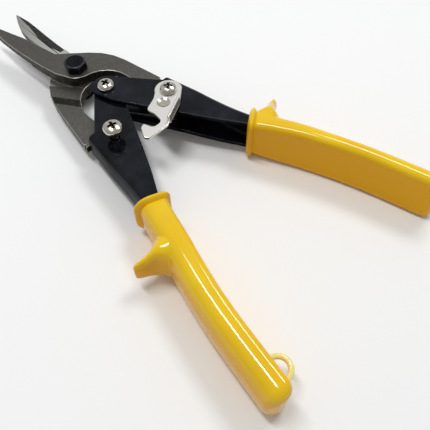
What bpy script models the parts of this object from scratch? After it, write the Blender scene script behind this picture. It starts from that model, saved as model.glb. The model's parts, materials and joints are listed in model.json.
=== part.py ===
"""Compound-leverage aviation snips, lying flat with the blades open.

The origin is on the axis of the blade pivot bolt, on the surface the tool lies on.
+Y runs to the blade tips, +X to the handle that carries the latch, +Z up.
Lengths below are millimetres and turn to metres when a mesh is made.
"""
import math
from dataclasses import dataclass

import bmesh
import bpy
from mathutils import Matrix, Vector

MM = 0.001

# Clearances between pieces that touch, and round the pivot left open in the linkage
GAP = 0.3
OPEN_PIVOT_GAP = 0.5

# The four-bar linkage: blade pivot, handle pivot, and a tang pivot on each handle
BLADE_PIVOT = (0.0, 0.0)
HANDLE_PIVOT = (0.0, -23.5)
TANG_PIVOT = (17.5, -49.35)
POST_PIVOT = (-TANG_PIVOT[0], TANG_PIVOT[1])

# Heights: the blades meet on the middle plane, and the grips are as high as the tool
MIDDLE = 12.5
SHEET = 2.0
JAW_THICK = 5.65
TANG_THICK = 3.8
JAW_LOW = MIDDLE + GAP / 2
JAW_HIGH = JAW_LOW + JAW_THICK
TANG_LOW = JAW_HIGH - TANG_THICK
OVER_PLATE_LOW = JAW_HIGH + GAP
OVER_PLATE_HIGH = OVER_PLATE_LOW + SHEET
UNDER_PLATE_LOW = 2 * MIDDLE - JAW_HIGH
UNDER_PLATE_HIGH = UNDER_PLATE_LOW + SHEET


@dataclass(frozen=True)
class JawPlan:
    """Plan of a jaw with its tang to the right.

    The cutting edge and the back are knots of (y, x); the shoulder and the stop
    are outer corners of the body.
    """

    edge: tuple
    back: tuple
    shoulder: tuple
    stop: tuple


@dataclass(frozen=True)
class GripPlan:
    """What differs between the two sleeves on their common line.

    The collar, the horn and the end are places along y; the shift is outward across
    the line, and the spare is added to the half width.
    """

    collar: float
    horn: float
    end: float
    shift: float
    spare: float


# Blades: the lower one is narrower than the upper one, and its body is broader
BLADE_TIP = 66.5
EDGE_END = 24.0
EDGE_POINTS = 8
BACK_POINTS = 9
HEEL_PLACE = 16.6
HEEL_RADIUS = 3.0
BOSS_RADIUS = 7.65
BOSS_END = math.radians(-149.0)
BOSS_CORNER = (BOSS_RADIUS * math.sin(BOSS_END), BOSS_RADIUS * math.cos(BOSS_END))
UPPER_JAW = JawPlan(
    edge=((HEEL_PLACE, -0.6), (28.0, -2.0), (39.0, -3.3), (50.0, -5.7), (BLADE_TIP, -9.2)),
    back=(BOSS_CORNER, (0.5, -8.6), (4.9, -9.9), (18.6, -11.6), (40.0, -12.2), (BLADE_TIP, -10.0)),
    shoulder=(19.5, -2.6),
    stop=(24.6, -39.0),
)
LOWER_JAW = JawPlan(
    edge=((HEEL_PLACE, -0.4), (43.0, -0.5), (54.6, -2.4), (61.0, -4.9), (BLADE_TIP, -7.8)),
    back=(BOSS_CORNER, (0.5, -7.6), (4.9, -8.1), (31.6, -8.8), (57.0, -9.7), (BLADE_TIP, -8.6)),
    shoulder=(17.5, 8.2),
    stop=(27.8, -38.5),
)
TAPER_START = 13.0
TIP_THICK = 3.0
LAND_WIDTH = [(22.5, 4.7), (31.0, 3.5), (41.0, 3.8), (54.0, 4.7), (BLADE_TIP + 2, 1.0)]
RELIEF_SLOPE = 0.18
RELIEF_BACK = -14.5

# Jaw body and tang
THROAT_CENTRE = (-1.8, -23.3)
THROAT_RADIUS = 15.4
THROAT_STRAIGHT = 4.0
SHOULDER_RADIUS = 30.0
STOP_INNER = 21.9
STOP_RADIUS = 0.6
NICK_RADIUS = 1.4
NICK_OFFSET = (0.2, 1.6)
TANG_RADIUS = 6.3
TANG_FLANK = math.radians(7.0)
STEP_START = 16.1
STEP_RUN = 2.6
STEP_NORMAL = (0.845, -0.537)

# Stamped handle channel: a web outside, two plates, and bends whose radius grows to the tail
EYE_RADIUS = 6.3
LIP_DIRECTION = (0.445, -0.895)
LIP_STRAIGHT_END = -58.0
LIP_FLARE = (-77.0, 0.7)
LIP_STEP = 8.0
LIP_MARGIN = 4.0
FRONT_DIRECTION = (0.642, -0.766)
FRONT_LENGTH = 27.0
FRONT_RADIUS = 1.5
WEB_LINE = [(-86.0, 35.1), (-77.0, 32.8), (-67.0, 30.9), (-56.0, 29.2), (-36.0, 25.6), (0.0, 20.5)]
CHANNEL_MOUTH = -88.2
CHANNEL_EASE = 10.0
BEND_RADIUS = [(-112.0, 3.6), (CHANNEL_MOUTH, 4.2), (-58.0, 3.0)]
FLARE_START = -56.0
EYE_STATIONS = [-10.0, -44.0]
TAIL = -171.5
CHANNEL_PLAY = [(-112.0, 1.7), (CHANNEL_MOUTH, 0.55)]

# Grips: plan of the middle line as (y, x), half width and half height along y
GRIP_LINE = [(-180.0, 57.9), (-165.0, 54.9), (-142.0, 49.7), (-120.0, 43.1), (-97.0, 34.8), (-87.0, 31.1)]
GRIP_HALF_WIDTH = [(-180.0, 5.2), (-142.0, 5.2), (-97.0, 5.9), (-87.0, 6.6)]
FULL_HEIGHT_PLACE = -116.0
GRIP_HALF_HEIGHT = [(-180.0, MIDDLE), (FULL_HEIGHT_PLACE, MIDDLE), (-87.0, 10.4)]
GRIP_END = -179.5
RIGHT_GRIP = GripPlan(collar=-88.2, horn=-94.0, end=GRIP_END + 3.0, shift=0.7, spare=-0.45)
LEFT_GRIP = GripPlan(collar=-87.2, horn=-110.0, end=GRIP_END, shift=-0.7, spare=0.5)
GRIP_EASE = 25.0
GRIP_WALL = 1.6
GRIP_ROUND_ACROSS = [(-120.0, 1.35), (-87.0, 0.9)]
GRIP_ROUND_UP = [(-120.0, 0.88), (-87.0, 0.5)]
GRIP_QUARTER = 6
GRIP_INNER_CORNER = 2.2
GRIP_END_ROUND = 4.5
GRIP_END_TURNS = [math.radians(27.0), math.radians(54.5), math.radians(82.0)]
POCKET_LEAD = 5.0
POCKET_PAST = 1.0
BODY_STATIONS = 8
COLLAR_SLANT = math.radians(12.0)
COLLAR_FADE = 25.0
RIM_RISE = 1.5
RIM_INSET = 0.4
RIM_LENGTH = 3.6
RIM_START = 0.12
RIM_RINGS = 6
RIM_CLEAR = 8.0

# Finger guards: half length and half height of the horn, and its lean, by reach from the root
HORN_ROOT = 4.5
HORN_REACH = HORN_ROOT + 12.4
HORN_FLARE = [(0.0, 5.4), (4.5, 5.2), (7.5, 3.6), (11.0, 2.4), (HORN_REACH, 1.9)]
HORN_DEPTH = [(0.0, 10.0), (4.5, 9.4), (7.5, 7.8), (11.0, 6.0), (HORN_REACH, 4.6)]
HORN_LEAN = [(0.0, -0.6), (6.0, -0.4), (HORN_REACH, 0.8)]
HORN_ROUND = 1.1
HORN_TIP = [(0.3, 0.8), (0.0, 0.45)]
HORN_RINGS = 8
HORN_SIDES = 16

# Hanging loop, as a ring that is half sunk in the grip
LOOP_PLACE = -168.8
LOOP_RADIUS = 5.8
LOOP_HOLE = 3.5
LOOP_THICK = 2.4
LOOP_EDGE = 0.6
LOOP_SETBACK = 1.85

# Latch: outline corners from its screw as (x, y, radius), and a thumb tab along the rear edge
LATCH_SHEET = 1.2
LATCH_HEAD_RADIUS = 6.8
LATCH_HEAD_ARC = (math.radians(-28.0), math.radians(150.0))
LATCH_NECK = [(-9.0, 1.1, 4.0), (-16.2, -1.7, 2.2)]
LATCH_NOTCH = [(-15.4, -6.2, 1.5), (-16.1, -12.3, 2.4), (-21.4, -12.0, 2.3), (-23.0, -7.0, 0.9)]
LATCH_FINGER = [(-25.4, -8.0, 0.8), (-28.6, -13.2, 1.0), (-27.2, -15.5, 1.0)]
LATCH_REAR = [(-15.9, -16.0, 3.0), (-1.1, -9.1, 6.0)]
LATCH_TAB = [(-14.2, -15.4, 0.5), (-1.6, -9.5, 0.5), (-2.1, -8.4, 0.0), (-14.7, -14.3, 0.0)]
LATCH_TAB_RISE = 3.4
DIMPLE_PLACE = (-7.4, -4.2)
DIMPLE_RADIUS = 3.0
DIMPLE_DEPTH = 0.7
LATCH_WASHER = 0.5

# Fasteners
BOLT_RADIUS = 3.0
BOLT_FLATS = 10.0
BOLT_HEAD = 4.0
BOLT_TURN = math.radians(12.0)
BOLT_POINT = 0.4
PIVOT_NUT = 4.2
PIVOT_WASHER = 1.0
PIVOT_WASHER_RADIUS = 6.2
HANDLE_SCREW_RADIUS = 2.5
TANG_SCREW_RADIUS = 2.0
SCREW_HEAD_RADIUS = 4.1
POST_HEAD_RADIUS = 4.5
SCREW_HEAD = 2.6
PAN_PROFILE = [(1.0, 0.0), (1.0, 0.35), (0.9, 0.65), (0.65, 0.9), (0.3, 1.0), (0.0, 1.0)]
RECESS_REACH = 0.58
RECESS_WIDTH = 1.1
RECESS_DEPTH = 1.7
RECESS_TAPER = 0.45
SCREW_POINT = 0.4
SCREW_LOW = 0.5
LATCH_SCREW_LOW = 2.6
SCREW_NUT = 3.2
NUT_CHAMFER = 0.6
HANDLE_NUT_FLATS = 8.0
TANG_NUT_FLATS = 7.0
BUSH_RADIUS = 5.0
SLEEVE_RADIUS = 3.6
POST_RISE = 5.7

# Return spring
WIRE = 1.2
COIL_RADIUS = 5.3
COIL_EXTRA_TURNS = 2
COIL_POINTS = 10
LEG_POINTS = 6
SPRING_LEG_PAST = 4.0
SPRING_LEG_SPREAD = 0.2
SPRING_LIFT = 0.4

# Meshing
ROUND_STEPS = 28
ARC_STEP = math.radians(15.0)
SMOOTH_ANGLE = math.radians(32.0)
WELD = 0.0005
BELOW_ALL = -20.0
ABOVE_ALL = 60.0
FAR = 90.0


def clear_scene():
    """Remove every object of the scene that is open."""
    for thing in list(bpy.data.objects):
        bpy.data.objects.remove(thing, do_unlink=True)


def material(name, colour, roughness, metallic):
    """Return a plain Principled material."""
    made = bpy.data.materials.new(name)
    made.use_nodes = True
    shader = made.node_tree.nodes["Principled BSDF"]
    shader.inputs["Base Color"].default_value = (*colour, 1.0)
    shader.inputs["Roughness"].default_value = roughness
    shader.inputs["Metallic"].default_value = metallic
    made.diffuse_color = (*colour, 1.0)
    return made


def spaced(start, end, count):
    """Return evenly spaced values from a start to an end."""
    return [start + (end - start) * i / (count - 1) for i in range(count)]


def flow(knots):
    """Return a smooth function through (place, value) knots that never overshoots them."""
    knots = sorted(knots)
    slopes = [(b[1] - a[1]) / (b[0] - a[0]) for a, b in zip(knots, knots[1:])]
    tangents = [slopes[0]]
    for before, after in zip(slopes, slopes[1:]):
        same_way = before * after > 0
        tangents.append(2 * before * after / (before + after) if same_way else 0.0)
    tangents.append(slopes[-1])

    def value(place):
        place = min(max(place, knots[0][0]), knots[-1][0])
        i = 0
        while i < len(knots) - 2 and place > knots[i + 1][0]:
            i += 1
        (x0, y0), (x1, y1) = knots[i], knots[i + 1]
        span = x1 - x0
        t = (place - x0) / span
        rise = y0 * (1 + 2 * t) * (1 - t) ** 2 + y1 * t * t * (3 - 2 * t)
        return rise + span * (tangents[i] * t * (1 - t) ** 2 - tangents[i + 1] * t * t * (1 - t))

    return value


def polar(centre, radius, angle):
    """Return the point at a radius and an angle from a centre."""
    return Vector((centre[0] + radius * math.cos(angle), centre[1] + radius * math.sin(angle)))


def arc(centre, radius, start, end):
    """Return points on an arc, from a start to an end angle in radians."""
    steps = max(2, math.ceil(abs(end - start) / ARC_STEP - 0.01))
    return [polar(centre, radius, a) for a in spaced(start, end, steps + 1)]


def rounded(corners):
    """Return an outline through (x, y, radius) corners, each rounded by an arc."""
    outline = []
    for i, (x, y, radius) in enumerate(corners):
        here = Vector((x, y))
        if radius == 0:
            outline.append(here)
            continue
        back = (Vector(corners[i - 1][:2]) - here).normalized()
        ahead = (Vector(corners[(i + 1) % len(corners)][:2]) - here).normalized()
        half = back.angle(ahead) / 2
        centre = here + (back + ahead).normalized() * (radius / math.sin(half))
        first = here + back * (radius / math.tan(half)) - centre
        last = here + ahead * (radius / math.tan(half)) - centre
        start = math.atan2(first.y, first.x)
        turn = math.remainder(math.atan2(last.y, last.x) - start, 2 * math.pi)
        outline.extend(arc(centre, radius, start, start + turn))
    return outline


def solid(name, bm, finish=None):
    """Make an object from a bmesh in millimetres, with its faces pointing out."""
    bmesh.ops.remove_doubles(bm, verts=bm.verts, dist=WELD)
    bmesh.ops.recalc_face_normals(bm, faces=bm.faces)
    if bm.calc_volume(signed=True) < 0:
        bmesh.ops.reverse_faces(bm, faces=bm.faces)
    bmesh.ops.scale(bm, vec=(MM, MM, MM), verts=bm.verts)
    mesh = bpy.data.meshes.new(name)
    bm.to_mesh(mesh)
    bm.free()
    made = bpy.data.objects.new(name, mesh)
    bpy.context.scene.collection.objects.link(made)
    if finish:
        mesh.materials.append(finish)
    return made


def prism(name, outline, low, high, finish=None):
    """Extrude a plan outline from a low to a high level."""
    bm = bmesh.new()
    base = bm.faces.new([bm.verts.new((p[0], p[1], low)) for p in outline])
    lifted = bmesh.ops.extrude_face_region(bm, geom=[base])["geom"]
    tops = [v for v in lifted if isinstance(v, bmesh.types.BMVert)]
    bmesh.ops.translate(bm, vec=(0, 0, high - low), verts=tops)
    return solid(name, bm, finish)


def loft(name, rings, finish=None):
    """Skin a row of rings of equal point counts and close both ends."""
    bm = bmesh.new()
    loops = [[bm.verts.new(p) for p in ring] for ring in rings]
    for near, far in zip(loops, loops[1:]):
        for i in range(len(near)):
            bm.faces.new((near[i - 1], near[i], far[i], far[i - 1]))
    bm.faces.new(loops[0])
    bm.faces.new(loops[-1])
    return solid(name, bm, finish)


def turned(name, place, profile, finish=None):
    """Turn a closed (radius, height) profile about an upright axis."""
    bm = bmesh.new()
    verts = [bm.verts.new((place[0] + r, place[1], z)) for r, z in profile]
    edges = [bm.edges.new((verts[i - 1], verts[i])) for i in range(len(verts))]
    centre = (place[0], place[1], 0)
    bmesh.ops.spin(bm, geom=verts + edges, cent=centre, axis=(0, 0, 1), angle=2 * math.pi,
                   steps=ROUND_STEPS, use_merge=True)
    bmesh.ops.remove_doubles(bm, verts=bm.verts, dist=WELD)
    bmesh.ops.dissolve_degenerate(bm, edges=bm.edges, dist=WELD)
    return solid(name, bm, finish)


def ring(name, place, inner, outer, low, high, finish):
    """Turn a plain ring, such as a washer, a bush or a sleeve."""
    return turned(name, place, [(inner, low), (outer, low), (outer, high), (inner, high)], finish)


def combine(piece, tool, operation="DIFFERENCE"):
    """Join, cut or trim a piece with a tool solid, and put the tool away."""
    step = piece.modifiers.new(operation.lower(), "BOOLEAN")
    step.operation = operation
    step.solver = "EXACT"
    step.object = tool
    scene_state = bpy.context.evaluated_depsgraph_get()
    result = bpy.data.meshes.new_from_object(piece.evaluated_get(scene_state))
    piece.modifiers.clear()
    piece.data = result
    bpy.data.objects.remove(tool, do_unlink=True)
    bm = bmesh.new()
    bm.from_mesh(result)
    bmesh.ops.remove_doubles(bm, verts=bm.verts, dist=WELD * MM)
    bmesh.ops.dissolve_degenerate(bm, edges=bm.edges, dist=WELD * MM)
    bm.to_mesh(result)
    bm.free()
    return piece


def drill(piece, place, radius):
    """Bore an upright round hole right through a piece."""
    hole = prism("drill", arc(place, radius, 0, 2 * math.pi - ARC_STEP), BELOW_ALL, ABOVE_ALL)
    return combine(piece, hole)


def turn_over(piece):
    """Turn a right-hand piece over about the tool's middle line, for the left side."""
    half_turn = Matrix.Rotation(math.pi, 4, "Y")
    lift = Matrix.Translation((0, 0, 2 * MIDDLE * MM))
    piece.data.transform(lift @ half_turn)
    return piece


def jaw_outline(plan):
    """Return the outline of a right-tanged jaw, from its tip round by the tang."""
    edge, back = flow(plan.edge), flow(plan.back)
    cut = [Vector((edge(y), y)) for y in spaced(BLADE_TIP, EDGE_END, EDGE_POINTS)]
    end = arc(TANG_PIVOT, TANG_RADIUS, TANG_FLANK, -math.pi - TANG_FLANK)
    outer = rounded([
        (*cut[-1], 0),
        (edge(HEEL_PLACE), HEEL_PLACE, HEEL_RADIUS),
        (*plan.shoulder, SHOULDER_RADIUS),
        (*plan.stop, STOP_RADIUS),
        (STOP_INNER, plan.stop[1], STOP_RADIUS),
        (*end[0], 0),
    ])[1:-1]
    flank = Vector((THROAT_CENTRE[0] + THROAT_RADIUS, THROAT_CENTRE[1] - THROAT_STRAIGHT))
    to_boss = math.atan2(-THROAT_CENTRE[1], -THROAT_CENTRE[0])
    throat = arc(THROAT_CENTRE, THROAT_RADIUS, 0, to_boss)
    boss = arc(BLADE_PIVOT, BOSS_RADIUS, to_boss - math.pi, BOSS_END)[1:-1]
    rise = [Vector((back(y), y)) for y in spaced(BOSS_CORNER[0], BLADE_TIP, BACK_POINTS)]
    return cut + outer + end + [flank] + throat + boss + rise


def upright_cut(name, profile, along):
    """Return a cutter with a profile in the (along, z) plane, wide to both sides."""
    along = Vector((*along, 0))
    side = Vector((-along.y, along.x, 0)) * FAR
    middle = [along * d + Vector((0, 0, z)) for d, z in profile]
    return loft(name, [[p - side for p in middle], [p + side for p in middle]])


def build_jaw(name, plan, finish):
    """Build a right-tanged jaw: flat shear face below, tapered blade, stepped tang."""
    jaw = prism(name, jaw_outline(plan), JAW_LOW, JAW_HIGH, finish)
    past_tip = BLADE_TIP + 4
    slope = [(TAPER_START, JAW_HIGH), (past_tip, JAW_LOW + TIP_THICK)]
    taper = slope + [(past_tip, ABOVE_ALL), (TAPER_START, ABOVE_ALL)]
    combine(jaw, upright_cut("taper", taper, (0, 1)))
    step_end = STEP_START + STEP_RUN
    step = [(STEP_START, JAW_LOW), (step_end, TANG_LOW), (FAR, TANG_LOW), (FAR, 0), (STEP_START, 0)]
    combine(jaw, upright_cut("tang_step", step, STEP_NORMAL))
    combine(jaw, blade_relief(plan))
    drill(jaw, Vector(plan.stop) + Vector(NICK_OFFSET), NICK_RADIUS)
    drill(jaw, TANG_PIVOT, TANG_SCREW_RADIUS + OPEN_PIVOT_GAP)
    drill(jaw, BLADE_PIVOT, BOLT_RADIUS + GAP)
    return jaw


def blade_relief(plan):
    """Return the wedge ground off the shear face behind the land of the cutting edge."""
    edge = flow(plan.edge)
    rings = []
    for y, land in LAND_WIDTH:
        x = edge(y) - land
        depth = RELIEF_SLOPE * (x - RELIEF_BACK)
        wedge = [(x, JAW_LOW), (RELIEF_BACK, JAW_LOW + depth), (RELIEF_BACK, 0), (x, 0)]
        rings.append([(across, y, z) for across, z in wedge])
    return loft("relief", rings)


grip_line = flow(GRIP_LINE)
grip_half_width = flow(GRIP_HALF_WIDTH)
grip_half_height = flow(GRIP_HALF_HEIGHT)
grip_round_across = flow(GRIP_ROUND_ACROSS)
grip_round_up = flow(GRIP_ROUND_UP)
channel_play = flow(CHANNEL_PLAY)


def grip_lean(y):
    """Return the angle between the grip's middle line and the tool's length."""
    return math.atan2(grip_line(y - 1) - grip_line(y + 1), 2)


def grip_axes(y, turn=0.0):
    """Return unit vectors across the grip, outward, and along it to the tail."""
    lean = grip_lean(y)
    across = Vector((math.cos(lean + turn), math.sin(lean + turn), 0))
    along = Vector((math.sin(lean), -math.cos(lean), 0))
    return across, along


def channel_half_width(y):
    """Return half the plan width of the channel inside its grip, along X."""
    return (grip_half_width(y) - GRIP_WALL - channel_play(y)) / math.cos(grip_lean(y))


def channel_half_height(y):
    """Return half the height of the channel inside its grip."""
    return grip_half_height(y) - GRIP_WALL - channel_play(y)


def channel_curves():
    """Return the channel's web line, lip line, top and bottom as functions of y."""
    inside = spaced(GRIP_END, CHANNEL_MOUTH - CHANNEL_EASE, 5)
    web = [(y, grip_line(y) + channel_half_width(y)) for y in inside] + WEB_LINE
    lip = [(y, grip_line(y) - channel_half_width(y)) for y in (*inside, CHANNEL_MOUTH)]
    eye = Vector(HANDLE_PIVOT) + EYE_RADIUS * Vector((LIP_DIRECTION[1], -LIP_DIRECTION[0]))
    slope = LIP_DIRECTION[0] / LIP_DIRECTION[1]
    for y, flare in (LIP_FLARE, (LIP_STRAIGHT_END, 0), (eye.y, 0)):
        lip.append((y, eye.x + (y - eye.y) * slope + flare))
    top = [(FLARE_START, OVER_PLATE_HIGH), (0.0, OVER_PLATE_HIGH)]
    low = [(FLARE_START, UNDER_PLATE_LOW), (0.0, UNDER_PLATE_LOW)]
    for y in (FULL_HEIGHT_PLACE, CHANNEL_MOUTH):
        top.append((y, MIDDLE + channel_half_height(y)))
        low.append((y, MIDDLE - channel_half_height(y)))
    return flow(web), flow(lip), flow(top), flow(low)


def channel_section(web, lip, top, low, bend):
    """Return the U section's points, from the top lip round the web and back inside."""
    bends = [(web - bend, top - bend, math.pi / 2), (web - bend, low + bend, 0.0)]
    outside = [Vector((lip, top))]
    inside = [Vector((lip, top - SHEET))]
    for x, z, start in bends:
        outside += arc((x, z), bend, start, start - math.pi / 2)[::2]
        inside += arc((x, z), bend - SHEET, start, start - math.pi / 2)[::2]
    outside.append(Vector((lip, low)))
    inside.append(Vector((lip, low + SHEET)))
    return outside + inside[::-1]


def stamping_plan(lip):
    """Return the trimming plan of the stamping: eye, slanted front, web end and lip."""
    front = Vector(FRONT_DIRECTION)
    first = math.atan2(-LIP_DIRECTION[0], LIP_DIRECTION[1]) + 2 * math.pi
    last = math.atan2(front.x, -front.y)
    outline = arc(HANDLE_PIVOT, EYE_RADIUS, first, last)
    foot = outline[-1] + front * FRONT_LENGTH
    outline += rounded([(*outline[-1], 0), (*foot, FRONT_RADIUS), (FAR, foot.y, 0)])[1:]
    outline.append(Vector((FAR, TAIL)))
    steps = round((LIP_STRAIGHT_END - TAIL) / LIP_STEP)
    outline += [Vector((lip(y), y)) for y in spaced(TAIL, LIP_STRAIGHT_END, steps + 1)]
    return outline


def build_handle(name, finish):
    """Build the right handle's stamping: a channel that widens from the eye to the tail."""
    web, lip, top, low = channel_curves()
    bend = flow(BEND_RADIUS)
    widening = spaced(FLARE_START, FULL_HEIGHT_PLACE, 9)
    stations = EYE_STATIONS + widening + spaced(FULL_HEIGHT_PLACE, GRIP_END, 4)[1:]
    rings = []
    for y in stations:
        section = channel_section(web(y), lip(y) - LIP_MARGIN, top(y), low(y), bend(y))
        rings.append([(p.x, y, p.y) for p in section])
    handle = loft(name, rings, finish)
    combine(handle, prism("plan", stamping_plan(lip), BELOW_ALL, ABOVE_ALL), "INTERSECT")
    drill(handle, HANDLE_PIVOT, HANDLE_SCREW_RADIUS + GAP)
    drill(handle, TANG_PIVOT, TANG_SCREW_RADIUS + GAP)
    return handle


def grip_place(plan, y):
    """Return the middle of a sleeve at y, and its half width there."""
    ease = min(1.0, max(0.0, (plan.collar - y) / GRIP_EASE))
    middle = Vector((grip_line(y) + plan.shift * ease, y, MIDDLE))
    return middle, grip_half_width(y) + plan.spare * ease


def grip_section(half, height, across, up, inner):
    """Return the sleeve's section: an elliptical outer side and tight inner corners."""
    section = []
    for side in (-1, 1):
        turns = spaced(0.0, math.pi / 2, GRIP_QUARTER)
        for turn in turns if side > 0 else turns[::-1]:
            spot = polar((half - across, 0), across, turn)
            section.append(Vector((spot.x, side * (height - up + up * math.sin(turn)))))
    section += arc((inner - half, height - inner), inner, math.pi / 2, math.pi)
    section += arc((inner - half, inner - height), inner, math.pi, 3 * math.pi / 2)
    return section


def grip_ring(plan, y, inset, shift=0.0):
    """Return one ring of a sleeve, drawn in by an inset and moved along it by a shift."""
    fade = max(0.0, 1 - abs(y - plan.collar) / COLLAR_FADE)
    slant = COLLAR_SLANT * fade * fade
    across, along = grip_axes(y, slant)
    middle, half = grip_place(plan, y)
    half = (half - inset) / math.cos(slant)
    height = grip_half_height(y) - inset
    inner = max(0.6, min(GRIP_INNER_CORNER - inset * 0.5, half))
    wide = min(grip_round_across(y) * half, 2 * half - inner)
    section = grip_section(half, height, wide, grip_round_up(y) * height, inner)
    return [middle + along * shift + across * p.x + Vector((0, 0, p.y)) for p in section]


def grip_skin(name, plan, finish):
    """Build the sleeve's outside: rolled rim, body, and a rounded end."""
    rings = []
    for t in spaced(RIM_START, 1.0, RIM_RINGS):
        swell = (RIM_RISE + RIM_INSET) * math.sin(math.pi * t)
        rings.append(grip_ring(plan, plan.collar, RIM_INSET - swell, RIM_LENGTH * t))
    round_start = plan.end + GRIP_END_ROUND
    rings += [grip_ring(plan, y, 0.0) for y in spaced(plan.collar - RIM_CLEAR, round_start, BODY_STATIONS)]
    for turn in GRIP_END_TURNS:
        inset = GRIP_END_ROUND * (1 - math.cos(turn))
        rings.append(grip_ring(plan, round_start, inset, GRIP_END_ROUND * math.sin(turn)))
    return loft(name, rings, finish)


def horn(plan):
    """Return the finger guard that flares out of the sleeve's outer side."""
    out, along = grip_axes(plan.horn)
    middle, half = grip_place(plan, plan.horn)
    foot = middle + out * (half - HORN_ROOT)
    flare, depth, lean = flow(HORN_FLARE), flow(HORN_DEPTH), flow(HORN_LEAN)
    rows = [(reach, 1.0) for reach in spaced(0.0, HORN_REACH - HORN_ROUND, HORN_RINGS)]
    rows += [(HORN_REACH - back, size) for back, size in HORN_TIP]
    rings = []
    for reach, size in rows:
        middle = foot + out * reach + along * lean(reach)
        row = []
        for i in range(HORN_SIDES):
            spot = polar((0, 0), size, 2 * math.pi * i / HORN_SIDES)
            row.append(middle + along * flare(reach) * spot.x + Vector((0, 0, depth(reach) * spot.y)))
        rings.append(row)
    return loft("horn", rings)


def build_grip(name, plan, finish):
    """Build a right-hand grip: sleeve, finger guard, and the pocket for the channel."""
    grip = grip_skin(name, plan, finish)
    combine(grip, horn(plan), "UNION")
    pocket = [grip_ring(plan, plan.collar, GRIP_WALL, -POCKET_LEAD)]
    deep = spaced(plan.collar, TAIL - POCKET_PAST, BODY_STATIONS + 2)
    pocket += [grip_ring(plan, y, GRIP_WALL) for y in deep]
    combine(grip, loft("pocket", pocket))
    return grip


def hanging_loop(plan):
    """Return the flat ring moulded on the inner side of a grip, near its end."""
    middle, half = grip_place(plan, LOOP_PLACE)
    centre = middle - grip_axes(LOOP_PLACE)[0] * (half + LOOP_SETBACK)
    low = MIDDLE - LOOP_THICK / 2
    lower = [
        (LOOP_HOLE, low + LOOP_EDGE),
        (LOOP_HOLE + LOOP_EDGE, low),
        (LOOP_RADIUS - LOOP_EDGE, low),
        (LOOP_RADIUS, low + LOOP_EDGE),
    ]
    profile = lower + [(r, 2 * MIDDLE - z) for r, z in reversed(lower)]
    return turned("hanging_loop", centre, profile)


def build_latch(name, low, finish):
    """Build the latch: round head, hook with its notch, pressed dimple and thumb tab."""
    high = low + LATCH_SHEET
    pivot = Vector(TANG_PIVOT)
    head = arc((0, 0), LATCH_HEAD_RADIUS, *LATCH_HEAD_ARC)
    blade = LATCH_NECK + LATCH_NOTCH + LATCH_FINGER + LATCH_REAR
    outline = head + rounded([(*head[-1], 0), *blade, (*head[0], 0)])[1:-1]
    latch = prism(name, [p + pivot for p in outline], low, high, finish)
    tab = prism("tab", [p + pivot for p in rounded(LATCH_TAB)], low + 0.2, high + LATCH_TAB_RISE)
    combine(latch, tab, "UNION")
    bowl = [(0.0, -1.0), (0.55, -0.8), (0.85, -0.45), (1.0, 0.0), (1.0, 1.0), (0.0, 1.0)]
    profile = [(r * DIMPLE_RADIUS, high + z * DIMPLE_DEPTH) for r, z in bowl]
    combine(latch, turned("bowl", pivot + Vector(DIMPLE_PLACE), profile))
    return drill(latch, TANG_PIVOT, TANG_SCREW_RADIUS + GAP)


def pan_screw(name, place, radius, head_radius, seat, end, turn, finish):
    """Build a pan-head screw with a cross recess, its head sitting on a seat level."""
    top = seat + SCREW_HEAD
    dome = [(r * head_radius, seat + z * SCREW_HEAD) for r, z in PAN_PROFILE]
    shank = [(0, end), (radius - SCREW_POINT, end), (radius, end + SCREW_POINT), (radius, seat)]
    screw = turned(name, place, shank + dome, finish)
    spot = Vector(place)
    for angle in (turn, turn + math.pi / 2):
        reach = polar((0, 0), RECESS_REACH * head_radius, angle)
        side = polar((0, 0), RECESS_WIDTH / 2, angle + math.pi / 2)
        wing = [-reach - side, reach - side, reach + side, side - reach]
        foot = [(*(spot + p * RECESS_TAPER), top - RECESS_DEPTH) for p in wing]
        mouth = [(*(spot + p), top + SCREW_POINT) for p in wing]
        combine(screw, loft("recess", [foot, mouth]))
    return screw


def hexagon(place, flats, turn=0.0):
    """Return the corners of a hexagon by its width across flats."""
    return [polar(place, flats / math.sqrt(3), turn + i * math.pi / 3) for i in range(6)]


def hex_nut(name, place, flats, bore, low, high, finish):
    """Build a hexagon nut with its corners chamfered on both faces."""
    nut = prism(name, hexagon(place, flats), low, high, finish)
    wide = flats / math.sqrt(3) + 0.1
    face = flats / 2 * 0.96
    upper = [(wide, high - NUT_CHAMFER), (face, high), (0, high)]
    lower = [(0, low), (face, low), (wide, low + NUT_CHAMFER)]
    combine(nut, turned("barrel", place, lower + upper), "INTERSECT")
    return drill(nut, place, bore)


def build_bolt(name, finish):
    """Build the blade pivot bolt: hexagon head with a turned crown, and a plain shank."""
    seat = JAW_HIGH + GAP
    top = seat + BOLT_HEAD
    bolt = prism(name, hexagon(BLADE_PIVOT, BOLT_FLATS, BOLT_TURN), seat, top, finish)
    wide = BOLT_FLATS / math.sqrt(3) + 0.2
    face = BOLT_FLATS / 2 * 0.94
    under, over = seat - 0.2, top + 0.01
    crown = [(0, under), (wide, under), (wide, top - NUT_CHAMFER), (face, over), (0, over)]
    combine(bolt, turned("crown", BLADE_PIVOT, crown), "INTERSECT")
    inside_head = seat + 1
    point = [(0, 0), (BOLT_RADIUS - BOLT_POINT, 0), (BOLT_RADIUS, BOLT_POINT)]
    shank = point + [(BOLT_RADIUS, inside_head), (0, inside_head)]
    return combine(bolt, turned("shank", BLADE_PIVOT, shank), "UNION")


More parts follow.
